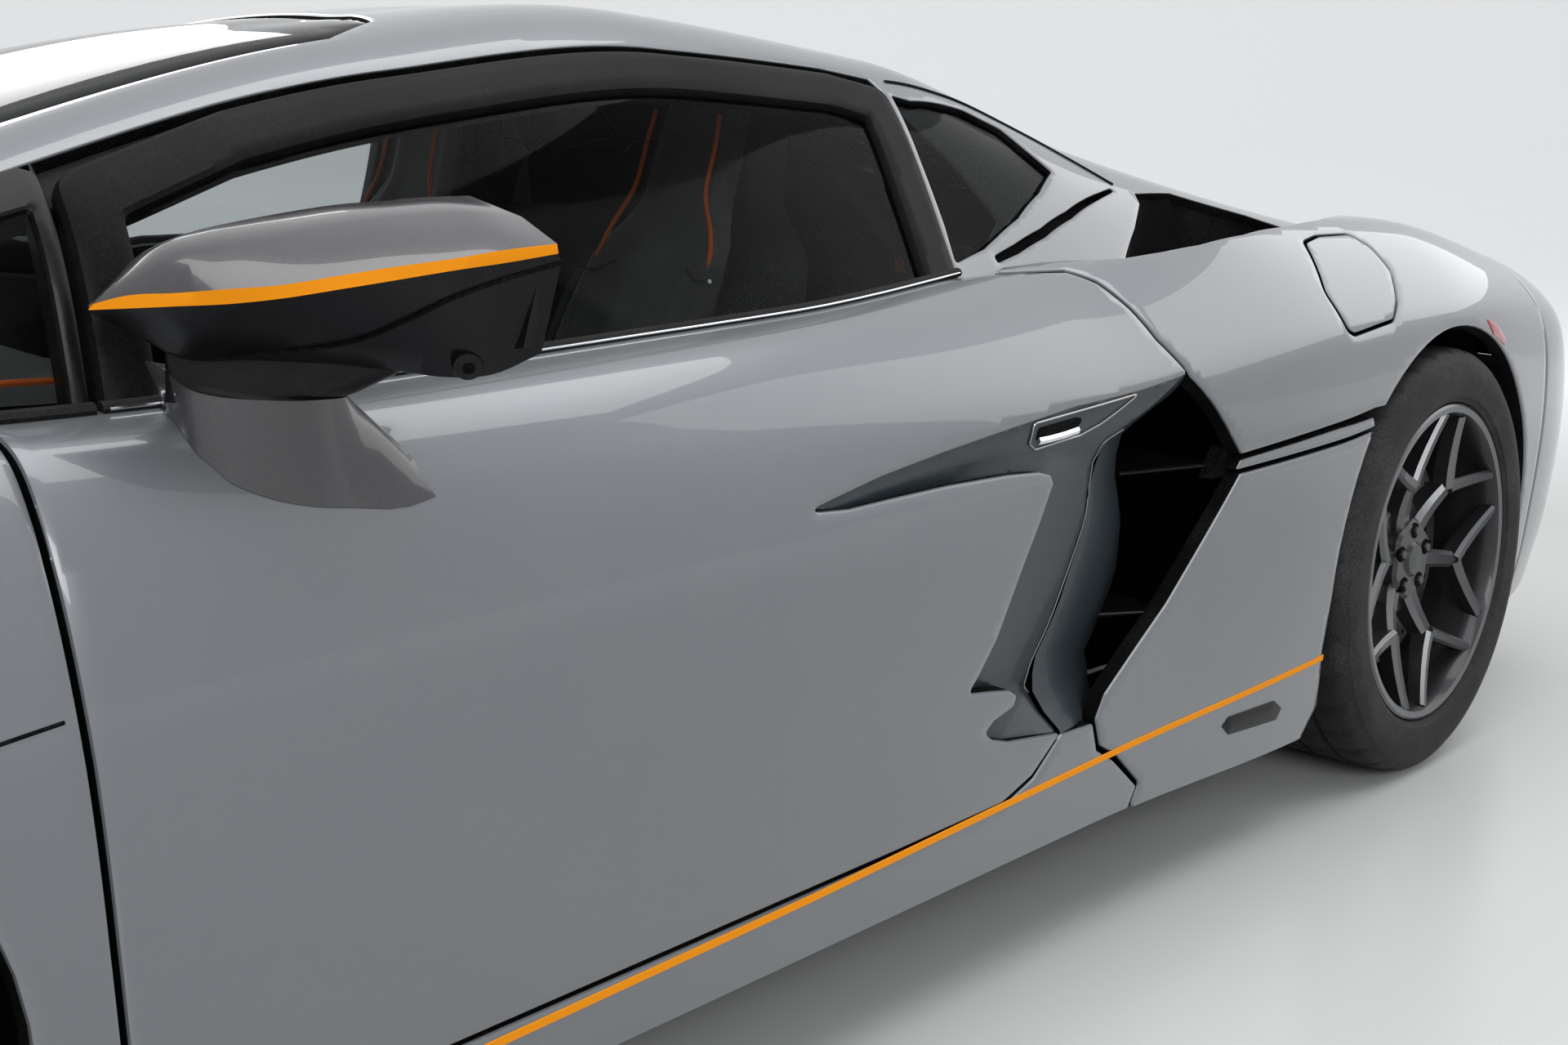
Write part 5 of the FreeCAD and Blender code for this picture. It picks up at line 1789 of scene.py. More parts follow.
# Long lines of the right-hand mirror's head, from its tip to its rear edge, in x, y and z
MIRROR_LINES = (
    ((-762, 893, 868), (-744, 893, 884), (-722, 893, 904), (-690, 895, 918), (-657, 897, 926),
     (-624, 899, 932), (-592, 902, 937), (-559, 906, 939), (-530, 910, 941), (-506, 915, 942)),
    ((-763, 897, 868), (-746, 916, 889), (-723, 930, 910), (-691, 931, 922), (-658, 934, 929),
     (-625, 938, 935), (-593, 946, 940), (-560, 956, 943), (-531, 972, 946), (-505, 990, 947)),
    ((-762, 897, 870), (-747, 925, 884), (-728, 952, 898), (-702, 974, 908), (-673, 992, 915),
     (-641, 1008, 923), (-609, 1024, 929), (-575, 1040, 933), (-543, 1056, 934), (-509, 1062, 931)),
    ((-761, 897, 870), (-747, 931, 877), (-730, 966, 879), (-710, 999, 882), (-684, 1028, 885),
     (-655, 1052, 891), (-622, 1072, 897), (-588, 1089, 902), (-552, 1102, 908), (-515, 1112, 912)),
    ((-763, 897, 866), (-748, 933, 868), (-730, 967, 870), (-708, 999, 872), (-683, 1028, 876),
     (-654, 1053, 882), (-621, 1072, 888), (-587, 1089, 894), (-551, 1101, 899), (-514, 1112, 905)),
    ((-762, 897, 864), (-730, 910, 845), (-701, 926, 830), (-671, 954, 834), (-643, 982, 837),
     (-621, 1014, 844), (-603, 1047, 858), (-580, 1077, 875), (-548, 1095, 888), (-509, 1109, 899)),
    ((-761, 896, 864), (-730, 901, 845), (-700, 909, 828), (-667, 927, 826), (-635, 945, 824),
     (-602, 962, 821), (-572, 985, 817), (-546, 1009, 812), (-526, 1043, 815), (-508, 1080, 832)),
    ((-762, 893, 865), (-735, 893, 850), (-705, 893, 835), (-670, 896, 828), (-636, 899, 824),
     (-603, 903, 820), (-573, 908, 816), (-546, 914, 813), (-526, 922, 811), (-507, 930, 812)),
)
MIRROR_FOOT_TOP = ((-715, 872, 826), (-711, 886, 823), (-704, 915, 808), (-685, 930, 801), (-650, 945, 797),
                   (-617, 945, 795), (-581, 925, 794), (-585, 880, 800), (-650, 862, 812))
# The foot's line on the door, in the skin's x and v
MIRROR_FOOT_SKIN = ((-690, 800), (-702, 726), (-701, 668), (-692, 639), (-680, 611), (-652, 588), (-620, 575),
                    (-589, 569), (-552, 562), (-521, 566), (-509, 574), (-516, 587), (-537, 639), (-552, 694))


@dataclass
class Mirror:
    """A door mirror: a wedge-shaped head with a striped crest, on a foot that stands on the door.

    Args:
        shop: Makes the pieces.
        parts: The number of points between two given ones.
    """

    shop: Workshop
    parts: int = 7

    def build(self) -> None:
        """Build the mirrors on both doors."""
        pieces = (
            ("mirror_head", self.head(), [Look.BLACK, Look.SMOKE, Look.STRIPE], True),
            ("mirror_seam", self.seam(), [Look.SHADOW], False),
            ("mirror_foot", self.foot(), [Look.SMOKE], False),
            ("mirror_neck", self.neck(), [Look.BLACK], False),
            ("mirror_lens", self.lens(), [Look.LAMP], False),
            ("mirror_camera", self.camera(), [Look.BLACK, Look.SHADOW], False),
        )
        for name, mesh, looks, stands in pieces:
            self.shop.pair(name, mesh, looks, Body.DOOR, "mirror" if stands else "", CRISP_ANGLE, True)

    def rings(self) -> np.ndarray:
        """Return the rings of the head, each point on one of its long lines."""
        lines = np.array(MIRROR_LINES, float)
        return np.stack([blended(line, self.parts) for line in lines], axis=1)

    def head(self) -> MeshData:
        """Return the head, with the smoke grey shell above the crest and the stripe along it.

        Returns:
            The mesh, with its shell in slot 1 and its stripe in slot 2.
        """
        rings = self.rings()
        last = rings[-1]
        middle = last.mean(axis=0)
        lip = middle + (last - middle) * 0.93
        inner = lip + np.array([-14.0, 0, 0])
        rows = np.concatenate([rings, lip[None], inner[None]])
        mesh = grid_mesh(rows, close_v=True, caps=True)
        looks = (1, 1, 1, 2, 0, 0, 0, 0)
        slots = [looks[k % 8] if k < (len(rings) - 1) * 8 else 0 for k in range(len(mesh.faces))]
        return MeshData(mesh.points, mesh.faces, slots)

    def seam(self) -> MeshData:
        """Return the dark line between the head's upper shell and its rear housing."""
        return swept(self.rings()[18:, 5] + np.array([0, 0.6, -0.4]), radius=1.7, sides=6)

    def lens(self) -> MeshData:
        """Return the mirror's glass.

        Returns:
            The mesh.
        """
        last = self.rings()[-1]
        middle = last.mean(axis=0)
        rim = middle + (last - middle) * 0.9 + np.array([-9.0, 0, 0])
        return grid_mesh(np.stack([rim, rim + np.array([-3.0, 0, 0])]), close_v=True, caps=True)

    def foot(self) -> MeshData:
        """Return the foot, a wedge that widens down onto the door's skin.

        Returns:
            The mesh.
        """
        top = blended(MIRROR_FOOT_TOP, 8, closed=True)
        skin = np.array(MIRROR_FOOT_SKIN, float)
        place = BODY.points(skin[:, 0], skin[:, 1]) + BODY.normals(skin[:, 0], skin[:, 1]) * 1.0
        inner = np.array([(-575, 860, 786), (-640, 842, 796)], float)
        base = blended(np.concatenate([place, inner]), 6, closed=True)
        middle = np.array([-640, 900])
        at = np.linspace(-math.pi, math.pi, 73)[:-1]
        top, base = (self.around(ring, middle, at) for ring in (top, base))
        rows = []
        for t in np.linspace(0, 1, 7):
            rows.append(top * (1 - t) + base * t)
        return grid_mesh(np.array(rows), close_v=True, caps=True)

    def around(self, ring: np.ndarray, middle: np.ndarray, at: np.ndarray) -> np.ndarray:
        """Return a ring's points at even angles about a middle seen from above.

        Args:
            ring: The closed ring of points.
            middle: The x and y of the middle.
            at: The angles.

        Returns:
            A point for each angle.
        """
        angle = np.arctan2(ring[:, 1] - middle[1], ring[:, 0] - middle[0])
        order = np.argsort(angle)
        angle, ring = angle[order], ring[order]
        angle = np.concatenate([angle[-1:] - 2 * math.pi, angle, angle[:1] + 2 * math.pi])
        ring = np.concatenate([ring[-1:], ring, ring[:1]])
        return np.column_stack([np.interp(at, angle, ring[:, k]) for k in range(3)])

    def neck(self) -> MeshData:
        """Return the neck between the foot and the head.

        Returns:
            The mesh.
        """
        low = np.array([(-707, 884), (-698, 908), (-680, 924), (-650, 938), (-617, 938), (-588, 918),
                        (-592, 884), (-650, 874)], float)
        high = np.array([(-706, 893), (-700, 908), (-676, 926), (-644, 944), (-600, 966), (-560, 990),
                         (-548, 930), (-640, 897)], float)
        rows = []
        for t, z in ((0.0, (796, 790)), (0.3, (803, 797)), (0.75, (818, 812)), (1.0, (835, 822))):
            ring = blended(low * (1 - t) + high * t, 5, closed=True)
            tall = np.interp(ring[:, 0], (-707, -560), z)
            rows.append(np.column_stack([ring, tall]))
        return grid_mesh(np.array(rows), close_v=True, caps=True)

    def camera(self) -> MeshData:
        """Return the small round camera under the head.

        Returns:
            The mesh, with its eye in slot 1.
        """
        eye = turned([(0.4, 5), (5, 5), (8, 3.5), (11, 3), (12, 0), (12, -6), (0.4, -6)], sides=28)
        spin = Matrix.Rotation(math.radians(28), 4, "Z") @ Matrix.Rotation(math.radians(-24), 4, "X")
        points = np.array([list(spin @ Vector(p)) for p in eye.points.tolist()])
        slots = [1 if k % 7 == 0 else 0 for k in range(len(eye.faces))]
        return MeshData(points + np.array([-0.543, 1.036, 0.8225]), eye.faces, slots)


@dataclass
class Windows:
    """The door windows with their frames, the fixed panes and the seals at the belt.

    Args:
        shop: Makes the pieces.
    """

    shop: Workshop

    def build(self) -> None:
        """Build the frames, the panes and the seals."""
        frame_line = side_points(DOOR_FRAME, CANOPY)
        pane = side_points(DOOR_PANE, CANOPY)
        ring = Panel(CANOPY, frame_line, radius=26, edge=9.0, flange=30, grid=11, lift=5,
                     openings=[pane]).build()
        glass = Panel(CANOPY, inset_outline(pane, -6), radius=14, edge=2.0, flange=5, grid=16,
                      lift=-6).build()
        surround = [(-1120, 740), (-1120, 800), (-1085, 824), (-958, 876), (-790, 958), (-744, 972),
                    (-744, 740)]
        band = Panel(CANOPY, side_points(surround, CANOPY), radius=4, edge=5.0, flange=20, grid=12, lift=1,
                     openings=[side_points(FRONT_PANE, CANOPY)]).build()
        small = Panel(CANOPY, inset_outline(side_points(FRONT_PANE, CANOPY), -4), radius=6, edge=2.0,
                      flange=5, grid=14, lift=-4).build()
        shut = [(x, z) for x, z in SIDE_GAP[1:]]
        under = shut[:-1] + [(398, 1100), (372, 860), (330, 860)]
        inner = [(x, z - 30) for x, z in shut[1:-1]] + [(350, 1070)]
        rail = Panel(CANOPY, side_points(under + inner[::-1], CANOPY), radius=4, edge=3.0, flange=20, grid=12,
                     lift=-12).build()
        for side, sign in SIDES:
            door = body_name(Body.DOOR, side)
            self.shop.add(f"door_window_frame_{side}", ring.for_side(sign), [Look.FRAME], door)
            self.shop.add(f"door_pane_{side}", glass.for_side(sign), [Look.GLASS], door,
                          [f"door_glass_{side}"])
            self.shop.add(f"door_belt_seal_{side}", self.seal(-740, 366).for_side(sign), [Look.RUBBER], door)
            line = self.seal(-735, 362, 2.0, 9.0).for_side(sign)
            self.shop.add(f"door_belt_line_{side}", line, [Look.LAMP], door)
        self.shop.add("fixed_window_bands", band.both(), [Look.BLACK])
        self.shop.add("fixed_front_panes", small.both(), [Look.GLASS])
        self.shop.add("window_rails", rail.both(), [Look.RUBBER])
        self.shop.add("fixed_belt_seals", self.seal(-1120, -745).both(), [Look.RUBBER])

    def seal(self, start: float, end: float, radius: float = 7.5, out: float = 3.0) -> MeshData:
        """Return the flat seal where the glass meets the body, between two places along the car.

        Args:
            start: The x where it starts.
            end: The x where it ends.
            radius: Half its width.
            out: How far it stands out of the glass.

        Returns:
            The mesh.
        """
        x = np.linspace(start, end, 40)
        walls = CANOPY.across(CANOPY.section(x), np.tile(np.linspace(0, 200, 201), (40, 1)))
        line = np.linspace(float(BODY.vs[3]), CENTRE_V, 300)
        skins = BODY.across(BODY.section(x), np.tile(line, (40, 1)))
        path = []
        for place, wall, skin in zip(x, walls, skins):
            height = np.interp(-wall[:, 0], -skin[:, 0], skin[:, 1])
            k = int(np.argmax(wall[:, 1] > height))
            path.append((place, wall[k, 0] + out, height[k] + 2))
        return swept(np.array(path), radius=radius, sides=8, flat=0.8)


# Steps of the cloth solver that fill a soft pad
PUFF_FRAMES = 20


def puff(piece: bpy.types.Object, voxel: float, cap: float, pressure: float = 4.0) -> None:
    """Swell a pad with a short cloth simulation and keep the result as its mesh.

    Args:
        piece: The pad, which starts a little smaller than it ends.
        voxel: The size of the cells it is remeshed with, in metres.
        cap: The farthest that a point may move, in metres.
        pressure: The air pressure inside.
    """
    bpy.context.view_layer.objects.active = piece
    remesh = piece.modifiers.new("cells", "REMESH")
    remesh.mode = "VOXEL"
    remesh.voxel_size = voxel
    graph = bpy.context.evaluated_depsgraph_get()
    base = bpy.data.meshes.new_from_object(piece.evaluated_get(graph))
    piece.modifiers.clear()
    start = np.empty(len(base.vertices) * 3)
    base.vertices.foreach_get("co", start)
    piece.data = base
    cloth = piece.modifiers.new("swell", "CLOTH")
    cloth.settings.use_pressure = True
    cloth.settings.uniform_pressure_force = pressure
    cloth.settings.effector_weights.gravity = 0
    cloth.settings.quality = 5
    for step in range(1, PUFF_FRAMES + 1):
        bpy.context.scene.frame_set(step)
    graph = bpy.context.evaluated_depsgraph_get()
    swollen = bpy.data.meshes.new_from_object(piece.evaluated_get(graph))
    end = np.empty(len(swollen.vertices) * 3)
    swollen.vertices.foreach_get("co", end)
    move = (end - start).reshape(-1, 3)
    far = np.linalg.norm(move, axis=1)[:, None]
    move *= np.minimum(1.0, cap / np.maximum(far, 1e-9))
    piece.modifiers.clear()
    base.vertices.foreach_set("co", (start.reshape(-1, 3) + move).ravel())
    bpy.context.scene.frame_set(1)
    base.update()
    base.shade_smooth()
    smooth = piece.modifiers.new("smooth", "SUBSURF")
    smooth.levels = smooth.render_levels = 1


@dataclass
class Seat:
    """A bucket seat: a shell, soft pads with raised sides, seams and a belt.

    Args:
        shop: Makes the pieces.
        side: Left or right.
        sign: The side of the car, minus one for the left.
        middle: The distance of its middle from the centre line, in millimetres.
    """

    shop: Workshop
    side: str
    sign: float
    middle: float = 370.0

    def build(self) -> None:
        """Build the seat's pieces."""
        shell = self.back(1.0, 0.0).joined(self.cushion(1.0, 0.0))
        self.add("seat_shell", shell, Look.CABIN, [f"seat_{self.side}"])
        pad = self.add("seat_back_pad", self.back(0.9, 16.0), Look.CLOTH)
        base = self.add("seat_cushion_pad", self.cushion(0.9, 18.0), Look.CLOTH)
        for piece in (pad, base):
            puff(piece, 0.009, 0.009)
        for sign in (-1, 1):
            line = [(self.front(z) - 50, self.middle + sign * self.width(z) * 0.66, z) for z in
                    (420, 540, 660, 780, 880, 940, 1000, 1040)]
            self.add(f"seat_seam_{'inner' if sign < 0 else 'outer'}",
                     swept(blended(line, 4), radius=3.2, sides=6), Look.ACCENT)
        self.add("seat_slots", self.slots(), Look.LAMP)
        belt = [(500, 560, 780), (470, 553, 850), (455, 505, 915), (440, 440, 965), (415, 420, 985)]
        web = swept(blended(belt, 5), radius=22, sides=8, flat=0.08)
        self.add("seat_belt", web, Look.BELT)
        latch = slab(rounded_outline([(462, 838), (496, 842), (494, 862), (464, 858)], radius=5, step=3),
                     upright(536), thick=26, bevel=3)
        self.add("seat_belt_latch", latch, Look.ACCENT)

    def add(self, name: str, mesh: MeshData, look: Look, nodes: Sequence[str] = ()) -> bpy.types.Object:
        """Add one piece of this seat.

        Args:
            name: The piece's name without its side.
            mesh: The mesh of the right-hand piece.
            look: Its finish.
            nodes: The nodes that it stands for.

        Returns:
            The object.
        """
        return self.shop.add(f"{name}_{self.side}", mesh.for_side(self.sign), [look], nodes=nodes,
                             angle=SEAT_ANGLE, solid=True)

    def front(self, z: float) -> float:
        """Return the x of the back's front face at a height."""
        return float(np.interp(z, (290, 600, 860, 930, 1068), (-20, 90, 205, 232, 285)))

    def width(self, z: float) -> float:
        """Return half the back's width at a height."""
        return float(np.interp(z, (200, 600, 820, 870, 925, 1000, 1068), (232, 234, 214, 196, 128, 120, 106)))

    def back(self, size: float, lift: float) -> MeshData:
        """Return the back, with raised sides, shoulders and a headrest, as a closed form.

        Args:
            size: Its width, over the full width.
            lift: How far it stands in front of the back's face.

        Returns:
            The mesh.
        """
        rows = []
        for z in np.concatenate([np.linspace(240, 860, 12), np.linspace(880, 1062, 8)]):
            w = self.width(z) * size
            x = self.front(z)
            deep = float(np.interp(z, (240, 600, 860, 940, 1062), (120, 112, 104, 88, 70)))
            deep *= 0.5 if lift else 1.0
            raised = 58 * float(np.interp(z, (240, 600, 850, 920), (0.6, 1.0, 0.8, 0.25)))
            front = [(-1.0, 0.1), (-0.92, 0.8), (-0.78, 1.0), (-0.62, 0.55), (-0.45, 0.08), (-0.2, 0.0)]
            front = front + [(0.0, 0.0)] + [(-a, b) for a, b in front[::-1]]
            ring = [(x - raised * b - lift * 0.6, a * w) for a, b in front]
            ring += [(x + deep * 0.6, w), (x + deep, w * 0.6), (x + deep, -w * 0.6), (x + deep * 0.6, -w)]
            rows.append([(px, self.middle + py, z) for px, py in ring])
        return grid_mesh(np.array(rows), close_v=True, caps=True)

    def cushion(self, size: float, lift: float) -> MeshData:
        """Return the cushion with its raised sides as a closed form.

        Args:
            size: Its width, over the full width.
            lift: How far it stands above the cushion's top.

        Returns:
            The mesh.
        """
        rows = []
        for x in np.linspace(-432, 70, 12):
            w = float(np.interp(x, (-432, -380, 70), (205, 230, 225))) * size
            top = float(np.interp(x, (-432, -390, 20, 70), (296, 322, 276, 270)))
            raised = 44 * float(np.interp(x, (-432, -300, 70), (0.3, 0.9, 1.0)))
            over = [(-1.0, 0.2), (-0.9, 0.9), (-0.76, 1.0), (-0.6, 0.5), (-0.4, 0.05), (0.0, 0.0)]
            over = over + [(-a, b) for a, b in over[-2::-1]]
            low = 196.0 if not lift else top - 46
            ring = [(a * w, top + raised * b + lift * 0.6) for a, b in over] + [(w, low), (-w, low)]
            rows.append([(x, self.middle + py, z) for py, z in ring])
        return grid_mesh(np.array(rows), close_v=True, caps=True)

    def slots(self) -> MeshData:
        """Return the bright rims of the belt slots beside the headrest.

        Returns:
            The mesh.
        """
        bars = []
        for sign in (-1, 1):
            line = [(self.front(842) - 46, self.middle + sign * 82, 846),
                    (self.front(832) - 56, self.middle + sign * 120, 834),
                    (self.front(828) - 62, self.middle + sign * 160, 838)]
            bars.append(swept(blended(line, 6), radius=3.0, sides=6))
        return merged(bars)


@dataclass
class Cabin:
    """The cabin's trim: the dashboard's edge, the lining and the bulkhead.

    Args:
        shop: Makes the pieces.
    """

    shop: Workshop

    def build(self) -> None:
        """Build the trim and dress the inner nodes."""
        for node in ("dashboard", "steering_wheel"):
            self.shop.dress(node, Look.CABIN)
        line = [(-985, 700, 800), (-880, 760, 803), (-760, 770, 806), (-640, 752, 798), (-570, 700, 784)]
        edge = swept(blended(line, 6), radius=3.0, sides=6).both()
        self.shop.add("dash_edge_line", edge, [Look.ACCENT])
        rows = []
        for x in np.linspace(-1150, 60, 14)[:8]:
            top = float(np.interp(x, (-1150, -900, -640, -560, -400, 60), (778, 806, 802, 770, 640, 560)))
            half, fall = (770, 16) if x < -540 else (60, 0)
            rows.append([(x, y, top - fall * abs(y) / 800) for y in np.linspace(-half, half, 15)])
        self.shop.add("dash_top", grid_mesh(np.array(rows)), [Look.CABIN])
        rows = []
        for y in np.linspace(-690, 690, 9):
            rows.append([(x, y, z) for x, z in ((480, 200), (484, 600), (500, 850), (560, 905), (640, 960))])
        self.shop.add("bulkhead_lining", grid_mesh(np.array(rows)), [Look.CABIN])
        rows = [[(x + 8, y, z - 30) for y in (470, 560, 650, 720)]
                for x, z in ((492, 800), (486, 900), (474, 1000), (452, 1085))]
        self.shop.add("pillar_lining_right", grid_mesh(np.array(rows, float)), [Look.CABIN])
        shape = rounded_outline([(-560, 330), (-640, 560), (-690, 760), (-500, 772), (-100, 790), (200, 830),
                                 (400, 850), (440, 560), (330, 330), (100, 275)], radius=30, step=25)
        panel = slab(shape, upright(800), thick=12, bevel=3)
        self.shop.pair("door_lining", panel, [Look.CABIN], Body.DOOR, "", CRISP_ANGLE, True)


@dataclass
class Ducts:
    """The side intakes: the cheek in darkened paint and the throat in black, both painted shade, with the
    fins, and the upper intakes.

    Args:
        shop: Makes the pieces.
    """

    shop: Workshop

    def build(self) -> None:
        """Build the intake pieces on both sides."""
        v = np.array(CHEEK_V, float)
        lead, deep, back = (np.array(values, float) for values in (CHEEK_LEAD, CHEEK_DEEP, CHEEK_BACK))
        rows = []
        for part, sink in ((0.0, 0.0), (0.2, 0.08), (0.45, 0.25), (0.72, 0.55), (1.0, 1.0), (1.3, 2.6),
                           (1.6, 4.2)):
            x = lead + 3 + (back - lead - 3) * part
            depth = deep + 2 + (92 - deep) * sink
            rows.append(BODY.points(x, v) - BODY.normals(x, v) * depth[:, None])
        cheek = grid_mesh(np.array(rows))
        # The cheek's outer rows take the darkened paint and its inner rows flat black: painted shade that
        # deepens into the duct
        slots = [0 if k // (len(v) - 1) < 4 else 1 for k in range(len(cheek.faces))]
        cheek = MeshData(cheek.points, cheek.faces, slots)
        self.shop.add("intake_cheeks", cheek.both(), [Look.SHADED_PAINT, Look.SHADOW])
        fins = []
        for z, x0, x1, y0, y1 in ((598, 580, 736, 780, 950), (404, 556, 640, 790, 935)):
            corners = [(x0, y1 - 66), (x1, y1), (x1 + 40, y0), (x0 + 60, y0)]
            outline = rounded_outline(corners, radius=4, step=12)
            fins.append(slab(
                outline, lambda p, d, h=z: np.column_stack([p, h - 3 + d + 0.03 * (p[:, 0] - x0)]),
                thick=6, bevel=1.8,
            ))
        self.shop.add("intake_fins", fins[0].joined(fins[1]).both(), [Look.BLACK], solid=True)
        # The throat is a wall of painted shade black deep in the intake
        wall = []
        for z in (240, 500, 700, 850):
            wall.append([(430, 700, z), (700, 690, z), (960, 700, z), (1010, 760, z),
                         (1000, 900 - 0.12 * max(z - 600, 0), z)])
        self.shop.add("intake_throats", grid_mesh(np.array(wall, float)).both(), [Look.SHADOW])
        # The intake ducts are dressed in painted shade black
        for node in ("intake_ducts", "tub", "front_frame", "rear_frame", "luggage_tray"):
            self.shop.dress(node, Look.SHADOW if node == "intake_ducts" else Look.STRUCTURE)
        self.upper()

    def upper(self) -> None:
        """Build the troughs of the upper intakes, between the haunch and the deck, in painted shade black."""
        edge = np.array(TROUGH_EDGE, float)
        side = np.array(DECK_SIDE, float)
        rows = []
        for x in np.linspace(660, 1440, 18):
            v = float(np.interp(x, edge[:, 0], edge[:, 1])) + 2
            outer = BODY.points(np.array([x]), np.array([v]))[0]
            w = float(np.interp(x, side[1:, 0], side[1:, 1]))
            inner = CANOPY.points(np.array([x]), np.array([w]))[0]
            low = outer[2] - float(np.interp(x, (660, 760, 1300, 1440), (20, 95, 60, 10)))
            rows.append([(x, outer[1] - 2, outer[2] - 5), (x, outer[1] - 8, low), (x, inner[1] - 12, low),
                         (x, inner[1] - 8, inner[2] - 6)])
        self.shop.add("upper_intake_troughs", grid_mesh(np.array(rows)).both(), [Look.SHADOW])


@dataclass
class Handle:
    """The door's flush handle in its slot.

    Args:
        shop: Makes the pieces.
    """

    shop: Workshop

    def build(self) -> None:
        """Build the recess, its fine rim, the slot in painted shade black and the bright lip on both doors.
        """
        recess = rounded_outline([(282, 548), (284, 522), (302, 513), (392, 522), (430, 534), (500, 568),
                                  (470, 566)], radius=6, step=7)
        slot = rounded_outline([(296, 541), (298, 524), (378, 529), (386, 546), (372, 548)], radius=5, step=5)
        lip = np.array([(299, 524.5), (320, 525), (350, 527), (380, 531)], float)
        places = {}
        for name, line, lift in (("rim", recess, 1.5), ("lip", lip, 3.0)):
            depth = hollow_depth(line)[:, None] - lift
            places[name] = BODY.points(line[:, 0], line[:, 1]) - BODY.normals(line[:, 0], line[:, 1]) * depth
        # The slot takes painted shade black
        well = Panel(BODY, slot, radius=2, edge=1.5, flange=3, grid=8, lift=2.4, relief=hollow_depth,
                     in_spots=True)
        pieces = (
            ("well", well.build(), Look.SHADOW),
            ("rim", swept(places["rim"], radius=1.3, sides=6, closed=True), Look.STEEL),
            ("lip", swept(places["lip"], radius=4.0, sides=6, flat=1.2), Look.LAMP),
        )
        for name, mesh, look in pieces:
            self.shop.pair(f"door_handle_{name}", mesh, [look], Body.DOOR)


# The floor's profile along the line of sight, in metres, and half its width in millimetres
FLOOR_PROFILE = ((-16, 0), (9, 0), (10.5, 0.12), (11.6, 0.6), (12.2, 1.6), (12.3, 6))
FLOOR_HALF = 16000

# The soft lights: name, place, target, width and depth, watts
SOFTBOXES = (
    ("overhead softbox", (0.0, -1.0, 4.6), (0.2, 0.0, 0.6), (6.5, 3.6), 185),
    ("left softbox", (-3.2, -6.0, 3.4), (0.0, 0.0, 0.7), (5.0, 2.2), 190),
    ("rear softbox", (6.5, -2.6, 3.9), (1.0, 0.0, 0.8), (6.0, 3.6), 85),
    ("right softbox", (0.0, 6.5, 3.6), (0.0, 0.0, 0.8), (6.0, 2.0), 130),
)

# The camera, fitted to the photo: its place, then its yaw, pitch and roll in degrees
CAMERA_PLACE = (-1.202, -2.024, 0.925)
CAMERA_ANGLES = (44.86, 10.77, 0.06)
SENSOR_WIDTH = 36.0
FOCAL_PIXELS = 1912.0
PHOTO_PIXELS = 1920.0


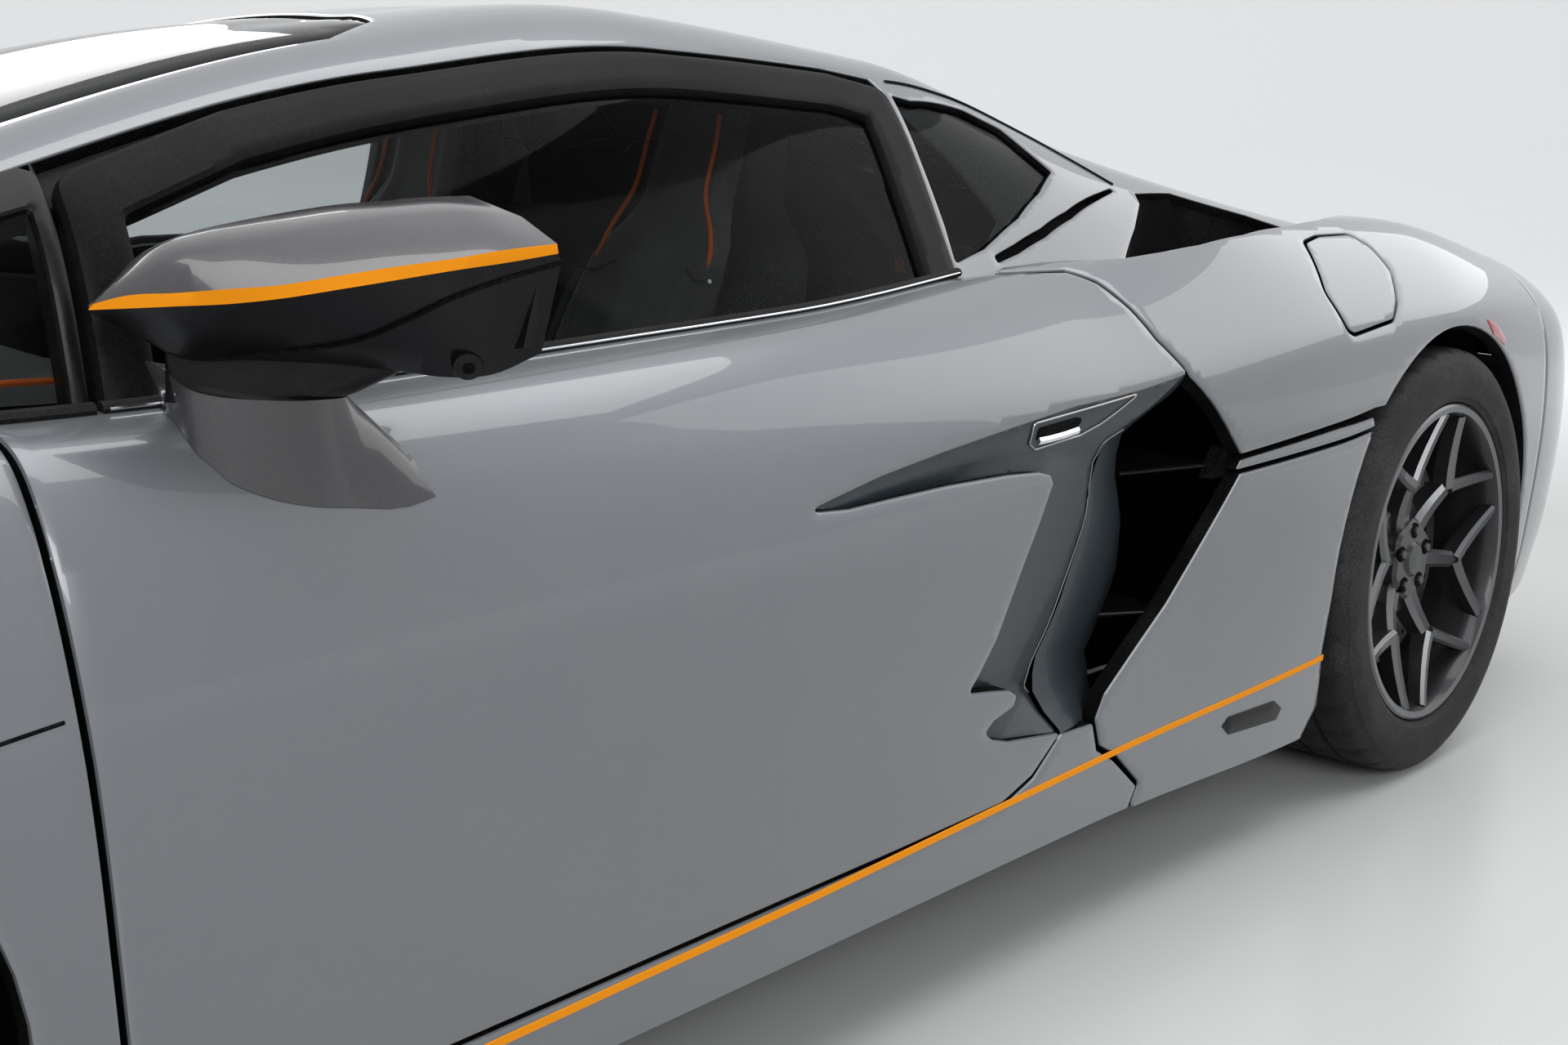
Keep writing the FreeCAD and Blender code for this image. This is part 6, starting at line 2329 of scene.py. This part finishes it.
@dataclass
class Studio:
    """The plain floor, the soft lights and the camera.

    Args:
        shop: Makes the pieces and holds the shared shader groups.
    """

    shop: Workshop

    def build(self) -> None:
        """Build the floor, the lights, the world and the camera."""
        self.floor()
        self.world()
        self.lights()
        self.camera()

    def floor(self) -> None:
        """Build the pale floor with its upturned backdrop."""
        rows = []
        for x, z in FLOOR_PROFILE:
            rows.append([(x * 1000, y, z * 1000) for y in np.linspace(-FLOOR_HALF, FLOOR_HALF, 9)])
        mesh = grid_mesh(np.array(rows, float))
        data = bpy.data.meshes.new("floor")
        data.from_pydata(mesh.points.tolist(), [], [f[::-1] for f in mesh.faces])
        data.shade_smooth()
        piece = bpy.data.objects.new("floor", data)
        bpy.context.scene.collection.objects.link(piece)
        piece.rotation_euler = (0, 0, math.radians(45))
        material = bpy.data.materials.new("pale studio floor")
        material.use_nodes = True
        n = Nodes(material.node_tree)
        cloud = n.add("Group", {"node_tree": self.shop.effects.clouding}, Color=(0.56, 0.57, 0.57, 1),
                      Dust_Color=(0.5, 0.5, 0.49, 1), Amount=0.08, Roughness=0.24, Spread=0.1)
        shader = n.add("BsdfPrincipled")
        n.tree.links.new(cloud.outputs["Color"], shader.inputs["Base Color"])
        n.tree.links.new(cloud.outputs["Roughness"], shader.inputs["Roughness"])
        far = n.add("VectorMath", {"operation": "LENGTH"})
        n.tree.links.new(n.add("NewGeometry").outputs["Position"], far.inputs[0])
        pale = n.ramp(far.outputs["Value"], 4.0, 8.6, (0.0, 0.46))
        strength = n.add("Math", {"operation": "MULTIPLY"}, i0=pale, i1=self.seen(n)).outputs[0]
        n.tree.links.new(strength, shader.inputs["Emission Strength"])
        shader.inputs["Emission Color"].default_value = (0.97, 0.98, 1.0, 1)
        n.add("OutputMaterial", None, Surface=shader.outputs["BSDF"])
        data.materials.append(material)

    def seen(self, n: Nodes) -> bpy.types.NodeSocket:
        """Return a value that is one where the surface is seen, reflected or looked through.

        Args:
            n: The builder of the shader.

        Returns:
            The socket with the value.
        """
        path = n.add("LightPath")
        seen = path.outputs["Is Camera Ray"]
        for ray in ("Is Glossy Ray", "Is Transmission Ray"):
            seen = n.add("Math", {"operation": "MAXIMUM"}, i0=seen, i1=path.outputs[ray]).outputs[0]
        return seen

    def world(self) -> None:
        """Set the pale world that shows behind the car and lights it evenly."""
        world = bpy.data.worlds.new("studio air")
        world.use_nodes = True
        n = Nodes(world.node_tree)
        strength = n.ramp(self.seen(n), 0.0, 1.0, (0.5, 0.78))
        back = n.add("Background", None, Color=(0.95, 0.955, 0.97, 1), Strength=strength)
        n.add("OutputWorld", None, Surface=back.outputs["Background"])
        bpy.context.scene.world = world

    def lights(self) -> None:
        """Hang the soft lights: a large one overhead and long ones at the sides."""
        for name, place, target, size, watts in SOFTBOXES:
            data = bpy.data.lights.new(name, "AREA")
            data.shape = "RECTANGLE"
            data.size, data.size_y = size
            data.energy = watts
            lamp = bpy.data.objects.new(name, data)
            lamp.location = place
            lamp.rotation_euler = (Vector(target) - Vector(place)).to_track_quat("-Z", "Y").to_euler()
            bpy.context.scene.collection.objects.link(lamp)

    def camera(self) -> None:
        """Set the camera beside the left door, low and turned towards the rear wheel."""
        yaw, pitch, roll = (math.radians(angle) for angle in CAMERA_ANGLES)
        ahead = Vector((math.cos(yaw) * math.cos(pitch), math.sin(yaw) * math.cos(pitch), -math.sin(pitch)))
        right = Vector((math.sin(yaw), -math.cos(yaw), 0))
        up = right.cross(ahead)
        turn = Matrix.Rotation(roll, 3, "Z")
        basis = Matrix((right, up, -ahead)).transposed() @ turn
        data = bpy.data.cameras.new("camera")
        data.sensor_width = SENSOR_WIDTH
        data.sensor_fit = "HORIZONTAL"
        data.lens = SENSOR_WIDTH * FOCAL_PIXELS / PHOTO_PIXELS
        data.clip_start = 0.05
        camera = bpy.data.objects.new("camera", data)
        camera.matrix_world = Matrix.Translation(CAMERA_PLACE) @ basis.to_4x4()
        bpy.context.scene.collection.objects.link(camera)
        bpy.context.scene.camera = camera


def main() -> None:
    """Build the whole car and its studio."""
    logging.basicConfig(level=logging.INFO, format="%(message)s")
    scene = bpy.context.scene
    scene.view_settings.view_transform = "Standard"
    shop = Workshop(Effects())
    Studio(shop).build()
    Skins(shop).build()
    Ducts(shop).build()
    Handle(shop).build()
    Windows(shop).build()
    Mirror(shop).build()
    Wheel("front", Body.WHEEL_FRONT, FRONT_AXLE, tyre_r=343.0, half_w=127.0, rim_r=256.0).build(shop)
    Wheel("rear", Body.WHEEL_REAR, REAR_AXLE, tyre_r=364.0, half_w=162.0, rim_r=269.0).build(shop)
    for side, sign in SIDES:
        Seat(shop, side, sign).build()
        for end in ("front", "rear"):
            shop.dress(f"knuckle_{end}_{side}", Look.CALIPER)
    Cabin(shop).build()
    for node, look in (("subframe_front", Look.ARMS), ("subframe_rear", Look.ARMS), ("engine", Look.ENGINE)):
        shop.dress(node, look)


if __name__ == "__main__":
    main()
